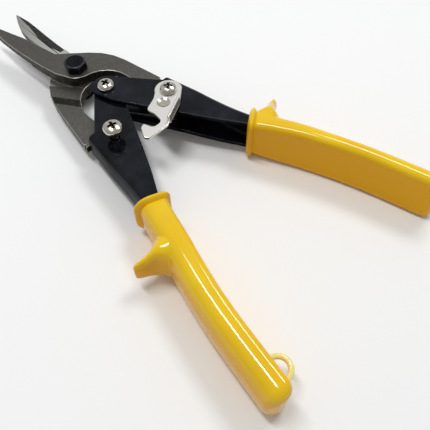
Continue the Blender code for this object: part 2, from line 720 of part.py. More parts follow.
def spring_path():
    """Return the spring's wire line: lower leg, coil, upper leg, each leg on its bush."""
    low = UNDER_PLATE_HIGH + SPRING_LIFT + WIRE / 2
    high = 2 * MIDDLE - low
    pivot = Vector(HANDLE_PIVOT)
    arm = Vector(TANG_PIVOT) - pivot
    to_tang = arm.normalized()
    side = Vector((to_tang.y, -to_tang.x))
    bush_side = BUSH_RADIUS + WIRE / 2 + GAP + SPRING_LEG_SPREAD
    near = pivot + side * COIL_RADIUS
    far = pivot + to_tang * (arm.length + SPRING_LEG_PAST) + side * bush_side
    start = math.atan2(side.y, side.x)
    sweep = 2 * math.pi * COIL_EXTRA_TURNS + (2 * start + math.pi) % (2 * math.pi)
    count = round(sweep / (2 * math.pi) * COIL_POINTS)
    leg = [far.lerp(near, i / LEG_POINTS) for i in range(LEG_POINTS)]
    points = [Vector((*p, low)) for p in leg]
    for i in range(count + 1):
        spot = polar(pivot, COIL_RADIUS, start - sweep * i / count)
        points.append(Vector((*spot, low + (high - low) * i / count)))
    points += [Vector((-p.x, p.y, high)) for p in reversed(leg)]
    return points


def least_self_gap(points):
    """Return the least free gap between stretches of the wire that aren't neighbours."""
    fine = [a.lerp(b, i / 4) for a, b in zip(points, points[1:]) for i in range(4)]
    travel = [0.0]
    for a, b in zip(fine, fine[1:]):
        travel.append(travel[-1] + (b - a).length)
    gaps = []
    for i, a in enumerate(fine):
        for j in range(i):
            if travel[i] - travel[j] > 3 * WIRE:
                gaps.append((a - fine[j]).length - WIRE)
    return min(gaps)


def build_spring(name, finish):
    """Build the return spring as one round wire, and print its least gap to itself."""
    points = spring_path()
    curve = bpy.data.curves.new(name, "CURVE")
    curve.dimensions = "3D"
    curve.bevel_depth = WIRE / 2 * MM
    curve.bevel_resolution = 1
    curve.use_fill_caps = True
    line = curve.splines.new("POLY")
    line.points.add(len(points) - 1)
    for spot, p in zip(line.points, points):
        spot.co = (*(p * MM), 1.0)
    curve.materials.append(finish)
    made = bpy.data.objects.new(name, curve)
    bpy.context.scene.collection.objects.link(made)
    print(f"{name}: least gap to itself {least_self_gap(points):.2f} mm")
    return made


def axis_empty(name, place, parent=None):
    """Return an empty that stands on a joint's axis."""
    made = bpy.data.objects.new(name, None)
    bpy.context.scene.collection.objects.link(made)
    made.location = (place[0] * MM, place[1] * MM, MIDDLE * MM)
    bpy.context.view_layer.update()
    if parent:
        hang(made, parent)
    return made


def hang(piece, parent):
    """Parent a piece to an empty and keep the piece where it is."""
    piece.parent = parent
    piece.matrix_parent_inverse = parent.matrix_world.inverted()
    bpy.context.view_layer.update()


def shade(piece):
    """Shade round faces smooth and keep real edges sharp."""
    if piece.type == "MESH":
        piece.data.shade_smooth()
        piece.data.set_sharp_from_angle(angle=SMOOTH_ANGLE)


def build():
    """Build every piece and hang it on the axis it turns about."""
    clear_scene()
    jaw_steel = material("forged_jaw_steel", (0.10, 0.10, 0.095), 0.45, 1.0)
    lacquer = material("black_lacquer", (0.008, 0.008, 0.010), 0.25, 0.0)
    vinyl = material("yellow_vinyl", (0.84, 0.50, 0.02), 0.22, 0.0)
    nickel = material("nickel_plate", (0.72, 0.69, 0.62), 0.18, 1.0)
    satin_nickel = material("satin_nickel_sheet", (0.70, 0.67, 0.62), 0.38, 1.0)
    black_oxide = material("black_oxide", (0.02, 0.02, 0.023), 0.35, 0.6)
    spring_steel = material("spring_steel", (0.30, 0.30, 0.30), 0.30, 1.0)
    bronze = material("sintered_bronze", (0.36, 0.24, 0.12), 0.45, 1.0)

    root = axis_empty("tool", BLADE_PIVOT)
    handle_axis = axis_empty("handle_axis", HANDLE_PIVOT, root)
    tang_axis = axis_empty("tang_axis", TANG_PIVOT, root)
    blade_axis = axis_empty("blade_axis", BLADE_PIVOT, tang_axis)
    latch_axis = axis_empty("latch_axis", TANG_PIVOT, root)

    left_grip = build_grip("left_grip", LEFT_GRIP, vinyl)
    combine(left_grip, hanging_loop(LEFT_GRIP), "UNION")

    washer_low = OVER_PLATE_HIGH + GAP
    latch_low = washer_low + LATCH_WASHER + GAP
    latch_seat = latch_low + LATCH_SHEET + GAP
    post_seat = 2 * MIDDLE - UNDER_PLATE_LOW + POST_RISE
    left_nut_high = 2 * MIDDLE - OVER_PLATE_HIGH - GAP
    right_nut_high = UNDER_PLATE_LOW - GAP
    bush_low = UNDER_PLATE_HIGH + GAP
    bush_high = TANG_LOW - GAP
    pivot_washer_low = 2 * MIDDLE - JAW_HIGH - GAP - PIVOT_WASHER
    pivot_nut_high = pivot_washer_low - GAP
    handle_bore = HANDLE_SCREW_RADIUS + GAP
    tang_bore = TANG_SCREW_RADIUS + GAP
    bolt_bore = BOLT_RADIUS + GAP

    on_right = [
        build_handle("right_handle", lacquer),
        build_grip("right_grip", RIGHT_GRIP, vinyl),
        pan_screw("handle_pivot_screw", HANDLE_PIVOT, HANDLE_SCREW_RADIUS, SCREW_HEAD_RADIUS,
                  washer_low, SCREW_LOW, math.radians(20), nickel),
        hex_nut("handle_pivot_nut", HANDLE_PIVOT, HANDLE_NUT_FLATS, handle_bore,
                left_nut_high - SCREW_NUT, left_nut_high, nickel),
        ring("handle_pivot_sleeve", HANDLE_PIVOT, handle_bore, SLEEVE_RADIUS,
             bush_low, 2 * MIDDLE - bush_low, bronze),
        build_spring("return_spring", spring_steel),
        pan_screw("latch_screw", TANG_PIVOT, TANG_SCREW_RADIUS, SCREW_HEAD_RADIUS,
                  latch_seat, LATCH_SCREW_LOW, math.radians(40), nickel),
        hex_nut("latch_screw_nut", TANG_PIVOT, TANG_NUT_FLATS, tang_bore,
                right_nut_high - SCREW_NUT, right_nut_high, nickel),
        ring("right_tang_bush", TANG_PIVOT, tang_bore, BUSH_RADIUS, bush_low, bush_high, bronze),
        ring("latch_washer", TANG_PIVOT, tang_bore, SCREW_HEAD_RADIUS,
             washer_low, washer_low + LATCH_WASHER, nickel),
    ]
    on_left = [
        turn_over(build_handle("left_handle", lacquer)),
        turn_over(left_grip),
        pan_screw("latch_post_screw", POST_PIVOT, TANG_SCREW_RADIUS, POST_HEAD_RADIUS,
                  post_seat, SCREW_LOW, math.radians(75), nickel),
        hex_nut("latch_post_nut", POST_PIVOT, TANG_NUT_FLATS, tang_bore,
                left_nut_high - SCREW_NUT, left_nut_high, nickel),
        ring("left_tang_bush", POST_PIVOT, tang_bore, BUSH_RADIUS,
             2 * MIDDLE - bush_high, 2 * MIDDLE - bush_low, bronze),
    ]
    on_upper = [
        build_jaw("upper_jaw", UPPER_JAW, jaw_steel),
        build_bolt("pivot_bolt", black_oxide),
        ring("pivot_washer", BLADE_PIVOT, bolt_bore, PIVOT_WASHER_RADIUS,
             pivot_washer_low, pivot_washer_low + PIVOT_WASHER, nickel),
        hex_nut("pivot_lock_nut", BLADE_PIVOT, BOLT_FLATS, bolt_bore,
                pivot_nut_high - PIVOT_NUT, pivot_nut_high, black_oxide),
    ]
    on_blade_axis = [turn_over(build_jaw("lower_jaw", LOWER_JAW, jaw_steel))]
    on_latch = [build_latch("latch", latch_low, satin_nickel)]

    groups = [
        (on_right, root),
        (on_left, handle_axis),
        (on_upper, tang_axis),
        (on_blade_axis, blade_axis),
        (on_latch, latch_axis),
    ]
    for pieces, parent in groups:
        for piece in pieces:
            shade(piece)
            hang(piece, parent)


build()
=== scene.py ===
"""Looks of the aviation snips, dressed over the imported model.

The frame is the model's own, in metres: +Y runs from the blade pivot to the blade tips,
+X to the handle that carries the latch, +Z up from the surface that the tool lies on.
Sizes in the classes below are millimetres.
"""
import json
import logging
import math
from dataclasses import dataclass
from enum import Enum, IntEnum
from itertools import accumulate
from typing import Callable, Iterable, Sequence

import bmesh
import bpy
from bmesh.types import BMEdge, BMesh, BMFace, BMVert
from bpy.types import Material, Node, NodeSocket, NodeTree, Object
from mathutils import Matrix, Vector

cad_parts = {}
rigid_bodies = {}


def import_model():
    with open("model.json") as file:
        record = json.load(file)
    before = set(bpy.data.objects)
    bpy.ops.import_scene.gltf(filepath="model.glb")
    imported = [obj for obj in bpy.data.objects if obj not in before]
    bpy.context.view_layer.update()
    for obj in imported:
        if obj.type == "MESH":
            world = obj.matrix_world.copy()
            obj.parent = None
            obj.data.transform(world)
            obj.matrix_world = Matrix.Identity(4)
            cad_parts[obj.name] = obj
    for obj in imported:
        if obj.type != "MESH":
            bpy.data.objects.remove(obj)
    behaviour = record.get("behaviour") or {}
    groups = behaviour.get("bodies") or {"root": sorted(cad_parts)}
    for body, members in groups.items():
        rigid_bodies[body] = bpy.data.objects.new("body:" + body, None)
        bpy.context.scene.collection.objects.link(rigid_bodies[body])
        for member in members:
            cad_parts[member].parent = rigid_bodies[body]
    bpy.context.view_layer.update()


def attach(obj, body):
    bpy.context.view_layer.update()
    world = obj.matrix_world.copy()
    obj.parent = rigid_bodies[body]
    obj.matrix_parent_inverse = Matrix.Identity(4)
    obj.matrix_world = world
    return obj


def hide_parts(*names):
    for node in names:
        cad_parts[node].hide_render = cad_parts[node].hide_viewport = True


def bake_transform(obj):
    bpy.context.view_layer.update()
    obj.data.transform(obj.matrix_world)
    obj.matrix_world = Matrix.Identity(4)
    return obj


LOG = logging.getLogger("snips")
MM = 0.001

# The tool's middle plane, and heights that clear it for cutting right through
MIDDLE = 12.5
BELOW = -2 * MIDDLE
ABOVE = 4 * MIDDLE

# Pivots in the plan, each with a screw in it
HANDLE_PIVOT = (0.0, -23.5)
TANG_PIVOT = (17.5, -49.35)
POST_PIVOT = (-17.5, -49.35)
SCREWS = {"handle_pivot_screw": HANDLE_PIVOT, "latch_screw": TANG_PIVOT, "latch_post_screw": POST_PIVOT}

# Gaps that are closed in a CAD mesh, after a cut and after a spin
CAD_MERGE = 0.08
CUT_MERGE = 0.002
SPIN_MERGE = 0.001

# Faces of a CAD mesh that turn less than this, in degrees, are one flat face
FLAT_TURN = 0.6

# The part of 0 to 1 that noise fills, and the lift of a normal on upright sides and on tops
NOISE_RANGE = (0.3, 0.7)
SIDE_LIFT = 0.05
TOP_LIFT = 0.75

Knots = Sequence[tuple[float, float]]
Curve = Callable[[float], float]
Ring = list[Vector]
Triple = tuple[float, float, float]


class Body(str, Enum):
    """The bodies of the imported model."""

    RIGHT_HANDLE = "right_handle"
    LEFT_HANDLE = "left_handle"
    UPPER_JAW = "upper_jaw"
    LOWER_JAW = "lower_jaw"
    LATCH = "latch"


class Side(IntEnum):
    """The side of the tool that a handle lies on, as the sign of its X."""

    RIGHT = 1
    LEFT = -1


class Cut(str, Enum):
    """What is left of a shape that meets another."""

    SHARED = "INTERSECT"
    REST = "DIFFERENCE"


def spaced(start: float, end: float, count: int) -> list[float]:
    """Return evenly spaced values.

    Args:
        start: The first value.
        end: The last value.
        count: How many values there are.

    Returns:
        The values in order.
    """
    return [start + (end - start) * i / (count - 1) for i in range(count)]


def evenly(line: Sequence[Vector], count: int) -> Ring:
    """Return places spaced evenly along a line.

    Args:
        line: The corners of the line.
        count: How many places there are, with one at each end.

    Returns:
        The places in order.
    """
    travel = list(accumulate(((b - a).length for a, b in zip(line, line[1:])), initial=0.0))
    places = []
    i = 0
    for goal in spaced(0.0, travel[-1], count):
        while i < len(line) - 2 and travel[i + 1] < goal:
            i += 1
        places.append(line[i].lerp(line[i + 1], (goal - travel[i]) / (travel[i + 1] - travel[i])))
    return places


def circle(centre: tuple[float, float], radius: float, turns: Iterable[float], level: float = 0.0) -> Ring:
    """Return places on a level circle.

    Args:
        centre: Its centre in the plan.
        radius: Its radius.
        turns: The angles of the places, in radians.
        level: Its height.

    Returns:
        The places in order.
    """
    x, y = centre
    return [Vector((x + radius * math.cos(a), y + radius * math.sin(a), level)) for a in turns]


def eased(value: float) -> float:
    """Return a value clamped to 0 and 1 and eased at both ends."""
    value = min(1.0, max(0.0, value))
    return value * value * (3 - 2 * value)


def flow(knots: Knots) -> Curve:
    """Make a smooth curve through knots that never overshoots them.

    Args:
        knots: Pairs of place and value.

    Returns:
        A function from place to value.
    """
    line = sorted(knots)
    slopes = [(b[1] - a[1]) / (b[0] - a[0]) for a, b in zip(line, line[1:])]
    tangents = [slopes[0]]
    for before, after in zip(slopes, slopes[1:]):
        same_way = before * after > 0
        tangents.append(2 * before * after / (before + after) if same_way else 0.0)
    tangents.append(slopes[-1])

    def value(place: float) -> float:
        """Read the curve.

        Args:
            place: The place, which is held between the first and the last knot.

        Returns:
            The curve's value there.
        """
        place = min(max(place, line[0][0]), line[-1][0])
        i = 0
        while i < len(line) - 2 and place > line[i + 1][0]:
            i += 1
        (x0, y0), (x1, y1) = line[i], line[i + 1]
        span = x1 - x0
        t = (place - x0) / span
        rise = y0 * (1 + 2 * t) * (1 - t) ** 2 + y1 * t * t * (3 - 2 * t)
        return rise + span * (tangents[i] * t * (1 - t) ** 2 - tangents[i + 1] * t * t * (1 - t))

    return value


def linear(colour: str) -> tuple[float, float, float, float]:
    """Turn an sRGB hex colour into a linear one.

    Args:
        colour: The colour, with a leading hash.

    Returns:
        Red, green, blue and alpha.
    """
    channels = [int(colour[i:i + 2], 16) / 255 for i in (1, 3, 5)]
    lit = [c / 12.92 if c <= 0.04045 else ((c + 0.055) / 1.055) ** 2.4 for c in channels]
    return (*lit, 1.0)


def per_metre(size: float) -> float:
    """Return the texture scale whose features are a size in millimetres."""
    return 1.0 / (size * MM)


def add(
    tree: NodeTree,
    kind: str,
    values: dict[str | int, object] | None = None,
    links: dict[str | int, NodeSocket] | None = None,
    ramp: Sequence[tuple[float, str]] = (),
    **settings: object,
) -> Node:
    """Add a node with its settings, values and links.

    Args:
        tree: The tree that gets the node.
        kind: The node's type name.
        values: Values for its input sockets.
        links: Sockets that feed its inputs.
        ramp: Places and hex colours of a colour ramp.
        settings: Properties of the node itself.

    Returns:
        The new node.
    """
    node = tree.nodes.new(kind)
    for key, value in settings.items():
        setattr(node, key, value)
    for key, value in (values or {}).items():
        node.inputs[key].default_value = value
    for key, socket in (links or {}).items():
        tree.links.new(socket, node.inputs[key])
    if ramp:
        stops = node.color_ramp.elements
        while len(stops) < len(ramp):
            stops.new(1.0)
        for stop, (place, colour) in zip(stops, ramp):
            stop.position = place
            stop.color = linear(colour)
    return node


def facing_up(tree: NodeTree) -> NodeSocket:
    """Tell tops from upright sides.

    Args:
        tree: The material's tree.

    Returns:
        How far a surface faces up: 0 on upright sides and below, 1 on tops.
    """
    facing = add(tree, "ShaderNodeTexCoord").outputs["Normal"]
    lift = add(tree, "ShaderNodeSeparateXYZ", links={"Vector": facing})
    share = add(
        tree, "ShaderNodeMapRange", {"From Min": SIDE_LIFT, "From Max": TOP_LIFT},
        {"Value": lift.outputs["Z"]}, interpolation_type="SMOOTHSTEP",
    )
    return share.outputs["Result"]


@dataclass(frozen=True, kw_only=True)
class Finish:
    """A surface finish, named for its material and process.

    It has clouds of tone between two colours, and a grain that lifts the surface. The cloud
    and the grain are sizes in millimetres, the stretch draws the grain out along each axis,
    and the relief is the grain's height in millimetres. The tones are the parts of the clouds'
    noise that stay dark and light. The roughness follows the grain, or else the clouds.
    """

    name: str
    slot: str
    dark: str
    light: str
    cloud: float
    grain: float
    smooth: float
    rough: float
    relief: float
    stretch: Triple = (1.0, 1.0, 1.0)
    tones: tuple[float, float] = (0.36, 0.64)
    cloud_detail: float = 4.0
    cloud_roughness: float = 0.6
    grain_detail: float = 2.0
    grain_strength: float = 1.0
    rough_grain: bool = True

    def make(self) -> Material:
        """Make the finish's material, the first time that it is asked for.

        Returns:
            The material.
        """
        made = bpy.data.materials.get(self.name)
        if made is None:
            made = bpy.data.materials.new(self.name)
            made.use_nodes = True
            tree = made.node_tree
            coords = add(tree, "ShaderNodeTexCoord").outputs["Object"]
            self.dress(tree, tree.nodes["Principled BSDF"], coords)
        return made

    def dress(self, tree: NodeTree, shader: Node, coords: NodeSocket) -> None:
        """Add the clouds of tone, the relief and the roughness.

        Args:
            tree: The material's tree.
            shader: Its Principled shader.
            coords: Object coordinates in metres.
        """
        clouds = add(
            tree, "ShaderNodeTexNoise",
            {"Scale": per_metre(self.cloud), "Detail": self.cloud_detail, "Roughness": self.cloud_roughness},
            {"Vector": coords},
        )
        tone = add(
            tree, "ShaderNodeValToRGB", links={"Fac": clouds.outputs["Fac"]},
            ramp=tuple(zip(self.tones, (self.dark, self.light))),
        )
        drawn = add(
            tree, "ShaderNodeMapping", {"Scale": tuple(1 / s for s in self.stretch)}, {"Vector": coords}
        )
        grain = add(
            tree, "ShaderNodeTexNoise", {"Scale": per_metre(self.grain), "Detail": self.grain_detail},
            {"Vector": drawn.outputs["Vector"]},
        )
        uneven = grain if self.rough_grain else clouds
        scatter = add(
            tree, "ShaderNodeMapRange",
            {
                "From Min": NOISE_RANGE[0], "From Max": NOISE_RANGE[1],
                "To Min": self.smooth, "To Max": self.rough,
            },
            {"Value": uneven.outputs["Fac"]},
        )
        bump = add(
            tree, "ShaderNodeBump", {"Strength": self.grain_strength, "Distance": self.relief * MM},
            {"Height": grain.outputs["Fac"]},
        )
        tree.links.new(tone.outputs["Color"], shader.inputs["Base Color"])
        tree.links.new(scatter.outputs["Result"], shader.inputs["Roughness"])
        tree.links.new(bump.outputs["Normal"], shader.inputs["Normal"])


@dataclass(frozen=True, kw_only=True)
class Metal(Finish):
    """A bare or plated metal, whose real grain is too fine to show and is drawn coarser."""

    metallic: float = 1.0

    def dress(self, tree: NodeTree, shader: Node, coords: NodeSocket) -> None:
        """Add the clouds and the grain of a metal."""
        super().dress(tree, shader, coords)
        shader.inputs["Metallic"].default_value = self.metallic


@dataclass(frozen=True, kw_only=True)
class RubbedSteel(Metal):
    """Satin jaw steel whose shear face is ground and rubbed bright where the jaws slide.

    The jaws slide on each other above a line that falls away on both sides of the pivot.
    It has a slope, and the places on Y under which nothing and over which all is bright.
    The bright face's colour falls along the blade, from its heel to its tip.
    """

    heel: str = "#DEDCD6"
    tip: str = "#B4B2AC"
    blade: tuple[float, float] = (25.0, 60.0)
    slope: float = 1.29
    rub: tuple[float, float] = (-13.2, -12.2)
    bright: float = 0.24

    def dress(self, tree: NodeTree, shader: Node, coords: NodeSocket) -> None:
        """Add the satin steel, then the bright shear face over it.

        Args:
            tree: The material's tree.
            shader: Its Principled shader.
            coords: Object coordinates in metres.
        """
        super().dress(tree, shader, coords)
        tone = shader.inputs["Base Color"].links[0].from_socket
        scatter = shader.inputs["Roughness"].links[0].from_socket
        axes = add(tree, "ShaderNodeSeparateXYZ", links={"Vector": coords})
        aside = add(tree, "ShaderNodeMath", links={0: axes.outputs["X"]}, operation="ABSOLUTE")
        above = add(
            tree, "ShaderNodeMath", {1: -self.slope},
            {0: aside.outputs["Value"], 2: axes.outputs["Y"]}, operation="MULTIPLY_ADD",
        )
        shine = add(
            tree, "ShaderNodeMapRange", {"From Min": self.rub[0] * MM, "From Max": self.rub[1] * MM},
            {"Value": above.outputs["Value"]}, interpolation_type="SMOOTHSTEP",
        )
        ahead = add(
            tree, "ShaderNodeMapRange", {"From Min": self.blade[0] * MM, "From Max": self.blade[1] * MM},
            {"Value": axes.outputs["Y"]},
        )
        ground = add(
            tree, "ShaderNodeValToRGB", links={"Fac": ahead.outputs["Result"]},
            ramp=((0.0, self.heel), (1.0, self.tip)),
        )
        colour = add(
            tree, "ShaderNodeMixRGB",
            links={"Fac": shine.outputs["Result"], "Color1": tone, "Color2": ground.outputs["Color"]},
        )
        gloss = add(
            tree, "ShaderNodeMapRange", {"To Max": self.bright},
            {"Value": shine.outputs["Result"], "To Min": scatter},
        )
        tree.links.new(colour.outputs["Color"], shader.inputs["Base Color"])
        tree.links.new(gloss.outputs["Result"], shader.inputs["Roughness"])


@dataclass(frozen=True, kw_only=True)
class Coat(Finish):
    """A glossy coat that hands have dulled on its upright sides.

    The gloss is a specular level, on sides and on tops. The grain is slow, so the roughness
    follows the clouds.
    """

    side_gloss: float
    top_gloss: float
    grain_detail: float = 1.0
    rough_grain: bool = False

    def dress(self, tree: NodeTree, shader: Node, coords: NodeSocket) -> None:
        """Add the coat's clouds and waves, and its gloss.

        Args:
            tree: The material's tree.
            shader: Its Principled shader.
            coords: Object coordinates in metres.
        """
        super().dress(tree, shader, coords)
        gloss = add(
            tree, "ShaderNodeMapRange", {"To Min": self.side_gloss, "To Max": self.top_gloss},
            {"Value": facing_up(tree)},
        )
        tree.links.new(gloss.outputs["Result"], shader.inputs["Specular IOR Level"])


@dataclass(frozen=True, kw_only=True)
class Vinyl(Coat):
    """Dipped soft vinyl, whose skin keeps the slow waves of the dip.

    Light sinks into it by a share, a depth and a reach of its red, green and blue. Its
    upright sides are painted a deeper orange, as shade.
    """

    side: str
    sunk: float
    depth: float = 1.5
    reach: Triple = (1.0, 0.6, 0.12)
    side_gloss: float = 0.2
    top_gloss: float = 0.55
    cloud: float = 22.0
    tones: tuple[float, float] = (0.35, 0.65)
    cloud_detail: float = 3.0
    cloud_roughness: float = 0.5
    grain: float = 9.0
    grain_strength: float = 0.5
    relief: float = 0.05
    smooth: float = 0.07
    rough: float = 0.12

    def dress(self, tree: NodeTree, shader: Node, coords: NodeSocket) -> None:
        """Add the coat, the painted shade of its sides and the light that sinks in.

        Args:
            tree: The material's tree.
            shader: Its Principled shader.
            coords: Object coordinates in metres.
        """
        super().dress(tree, shader, coords)
        tone = shader.inputs["Base Color"].links[0].from_socket
        # The upright sides get a deeper orange: painted shade
        colour = add(
            tree, "ShaderNodeMixRGB", {"Color1": linear(self.side)},
            {"Fac": facing_up(tree), "Color2": tone},
        )
        tree.links.new(colour.outputs["Color"], shader.inputs["Base Color"])
        shader.inputs["Subsurface Weight"].default_value = self.sunk
        shader.inputs["Subsurface Radius"].default_value = self.reach
        shader.inputs["Subsurface Scale"].default_value = self.depth * MM


# Drop-forged jaw steel, tumbled to a satin grey: soft clouds and a fine matt grain
FORGED = Metal(
    name="forged_steel_tumbled", slot="forged_jaw_steel", dark="#5D5B57", light="#6D6B66",
    cloud=0.9, grain=0.4, smooth=0.36, rough=0.5, relief=0.02,
)
# The same steel where the wheel has ground it: a little smoother, and bright where it rubs
GROUND = RubbedSteel(
    name="forged_steel_ground", slot="forged_jaw_steel", dark="#5D5B57", light="#6D6B66",
    cloud=0.9, grain=0.4, smooth=0.34, rough=0.46, relief=0.02,
)
# The step and the relief behind the land, painted dark as shade where they slope away from the light
RELIEF_PAINTED_SHADE = Metal(
    name="forged_steel_painted_shade", slot="forged_jaw_steel", dark="#33342F", light="#484944",
    cloud=2.0, grain=0.5, smooth=0.24, rough=0.36, relief=0.02,
)
# Upright flanks: darker, with a brown cast, and rougher
FLANK = Metal(
    name="forged_steel_dark_flank", slot="forged_jaw_steel", dark="#2E2A26", light="#4A4640",
    cloud=3.0, grain=0.5, smooth=0.42, rough=0.6, relief=0.04,
)
# Rims painted bright: wear from handling, and a painted highlight along each edge
RIM_WEAR_AND_HIGHLIGHT = Metal(
    name="forged_steel_rubbed_and_highlit", slot="forged_jaw_steel", dark="#9B9994", light="#BDBBB5",
    cloud=4.0, grain=0.4, smooth=0.26, rough=0.38, relief=0.01,
)
# Stoved black lacquer: a deep body with dusty clouds, which also paint a soft bluish sheen, under a gloss
# with faint orange peel
LACQUER = Coat(
    name="stoved_black_lacquer", slot="black_lacquer", dark="#06070C", light="#1E212B", tones=(0.42, 0.72),
    cloud=14.0, cloud_detail=5.0, cloud_roughness=0.65, grain=1.2, grain_strength=0.6, relief=0.012,
    smooth=0.09, rough=0.2, side_gloss=0.01, top_gloss=0.22,
)
# Dipped vinyl: warm yellow with a soft deep gloss, its sides painted more orange as shade
YELLOW = Vinyl(
    name="dipped_vinyl_yellow", slot="yellow_vinyl", dark="#ECBF0C", light="#F2CB14", side="#E8AC00", sunk=0.1
)
# The loop is a thin tab of the same vinyl, so light comes through it and it looks paler
PALE = Vinyl(
    name="dipped_vinyl_thin", slot="yellow_vinyl", dark="#EFE293", light="#F8F0B8", side="#EFE293", sunk=0.6
)
# Barrel-plated nickel: a warm mirror with a faint barrel texture
NICKEL = Metal(
    name="barrel_nickel_plate", slot="nickel_plate", dark="#CDC7BA", light="#DFD9CE",
    cloud=2.5, grain=0.6, smooth=0.1, rough=0.2, relief=0.006,
)
# Satin nickel on rolled sheet: pale, with short rolling lines, and too dull for a mirror
SATIN = Metal(
    name="satin_nickel_sheet", slot="satin_nickel_sheet", dark="#DAD4CE", light="#E5E0DB",
    cloud=5.0, grain=0.3, smooth=0.32, rough=0.46, relief=0.008, stretch=(6.0, 1.0, 1.0),
    metallic=0.15,
)
# Painted shade in the bottom of the screws' recesses: dark brown and dull
RECESS_PAINTED_SHADE = Metal(
    name="painted_shade_in_recess", slot="nickel_plate", dark="#2E2A24", light="#4E473C",
    cloud=1.0, grain=0.4, smooth=0.3, rough=0.45, relief=0.01,
)
# Oiled black oxide: near black, and satin
OXIDE = Metal(
    name="oiled_black_oxide", slot="black_oxide", dark="#15161A", light="#24262B",
    cloud=2.0, grain=0.4, smooth=0.26, rough=0.4, relief=0.012,
)
# Black oxide that a spanner has rubbed through at the edges
OXIDE_EDGE = Metal(
    name="rubbed_black_oxide", slot="black_oxide", dark="#34363B", light="#55575B",
    cloud=1.5, grain=0.4, smooth=0.24, rough=0.36, relief=0.01,
)
# Drawn spring wire: plain grey steel, smooth enough for a soft shine
WIRE_STEEL = Metal(
    name="drawn_spring_wire", slot="spring_steel", dark="#5C5C5E", light="#7E7E80",
    cloud=2.0, grain=0.4, smooth=0.22, rough=0.36, relief=0.008,
)
# Sintered bronze: dull brown, open pored and oily
BRONZE = Metal(
    name="sintered_bronze_oiled", slot="sintered_bronze", dark="#6E5231", light="#8E6E45",
    cloud=1.5, grain=0.3, smooth=0.38, rough=0.55, relief=0.02,
)


def place_ring(verts: Iterable[BMVert], ring: Iterable[Vector]) -> None:
    """Move the vertices of a loop to a ring of places, in order."""
    for vert, spot in zip(verts, ring):
        vert.co = spot


def loop_edges(bm: BMesh, loop: Sequence[BMVert]) -> list[BMEdge]:
    """Return the edges of a closed loop of vertices, in order."""
    return [bm.edges.get(pair) for pair in zip(loop, (*loop[1:], loop[0]))]


def sweep(rings: Sequence[Ring]) -> BMesh:
    """Carry a loop of edges through a series of rings by extrusion.

    Args:
        rings: Rings with the same number of places, in millimetres.

    Returns:
        A closed bmesh with a cap at each end.
    """
    bm = bmesh.new()
    loop = bmesh.ops.create_circle(bm, cap_ends=True, segments=len(rings[0]), radius=1.0)["verts"]
    place_ring(loop, rings[0])
    for ring in rings[1:]:
        grown = bmesh.ops.extrude_edge_only(bm, edges=loop_edges(bm, loop))["geom"]
        new = {item for item in grown if isinstance(item, BMVert)}
        loop = [next(e.other_vert(v) for e in v.link_edges if e.other_vert(v) in new) for v in loop]
        place_ring(loop, ring)
    bmesh.ops.contextual_create(bm, geom=loop_edges(bm, loop))
    bmesh.ops.recalc_face_normals(bm, faces=bm.faces)
    return bm


def carve(bm: BMesh, tool: BMesh, left: Cut) -> BMesh:
    """Cut a shape with another.

    Args:
        bm: The shape, which is freed.
        tool: The other shape, which is freed.
        left: What is left of the shape.

    Returns:
        The shape that is left.
    """
    pair = []
    for shape in (bm, tool):
        mesh = bpy.data.meshes.new("carving")
        shape.to_mesh(mesh)
        shape.free()
        pair.append(bpy.data.objects.new("carving", mesh))
        bpy.context.scene.collection.objects.link(pair[-1])
    cut = pair[0].modifiers.new("cut", "BOOLEAN")
    cut.operation = left.value
    cut.object = pair[1]
    cut.solver = "EXACT"
    carved = bmesh.new()
    carved.from_object(pair[0], bpy.context.evaluated_depsgraph_get())
    for thing in pair:
        bpy.data.meshes.remove(thing.data)
    bmesh.ops.remove_doubles(carved, verts=carved.verts, dist=CUT_MERGE)
    return carved


def copy_of(node: str) -> BMesh:
    """Copy a CAD node, with its vertices merged and its flat faces made whole.

    Args:
        node: The node's name.

    Returns:
        The copy, in millimetres.
    """
    bm = bmesh.new()
    bm.from_mesh(bpy.data.objects[node].data)
    bmesh.ops.scale(bm, vec=(1 / MM, 1 / MM, 1 / MM), verts=bm.verts)
    bmesh.ops.remove_doubles(bm, verts=bm.verts, dist=CAD_MERGE)
    bmesh.ops.dissolve_limit(
        bm, angle_limit=math.radians(FLAT_TURN), use_dissolve_boundaries=False,
        verts=bm.verts, edges=bm.edges, delimit=set(),
    )
    return bm


def folds(bm: BMesh, least: float) -> list[BMEdge]:
    """Return the edges of a piece whose faces turn by more than an angle in degrees."""
    return [edge for edge in bm.edges if edge.is_manifold and edge.calc_face_angle() > math.radians(least)]


def break_edges(bm: BMesh, edges: Sequence[BMEdge], width: float, segments: int = 3) -> list[BMFace]:
    """Round some edges of a piece.

    Args:
        bm: The piece, in millimetres.
        edges: The edges.
        width: How far the rounding reaches from an edge.
        segments: Faces across the rounding.

    Returns:
        The faces of the rounding.
    """
    made = bmesh.ops.bevel(
        bm, geom=edges, offset=width, offset_type="OFFSET", affect="EDGES", segments=segments,
        profile=0.5, material=-1, clamp_overlap=False,
    )
    return made["faces"]


def make_piece(name: str, bm: BMesh, finishes: Sequence[Finish], smooth: float) -> Object:
    """Turn a bmesh in millimetres into a shaded object, sharp where two finishes meet.

    Args:
        name: The object's name.
        bm: The finished bmesh, which is freed.
        finishes: Its finishes, in the order of its material indices.
        smooth: The angle in degrees under which edges are shaded smooth.

    Returns:
        The object, at the origin, with its place in its mesh.
    """
    bmesh.ops.scale(bm, vec=(MM, MM, MM), verts=bm.verts)
    sharp = set(folds(bm, smooth))
    for face in bm.faces:
        face.smooth = True
    for edge in bm.edges:
        edge.smooth = edge not in sharp and len({face.material_index for face in edge.link_faces}) < 2
    mesh = bpy.data.meshes.new(name)
    bm.to_mesh(mesh)
    bm.free()
    for finish in finishes:
        mesh.materials.append(finish.make())
    made = bpy.data.objects.new(name, mesh)
    bpy.context.scene.collection.objects.link(made)
    flats = made.modifiers.new("flats", "WEIGHTED_NORMAL")
    flats.keep_sharp = True
    return made


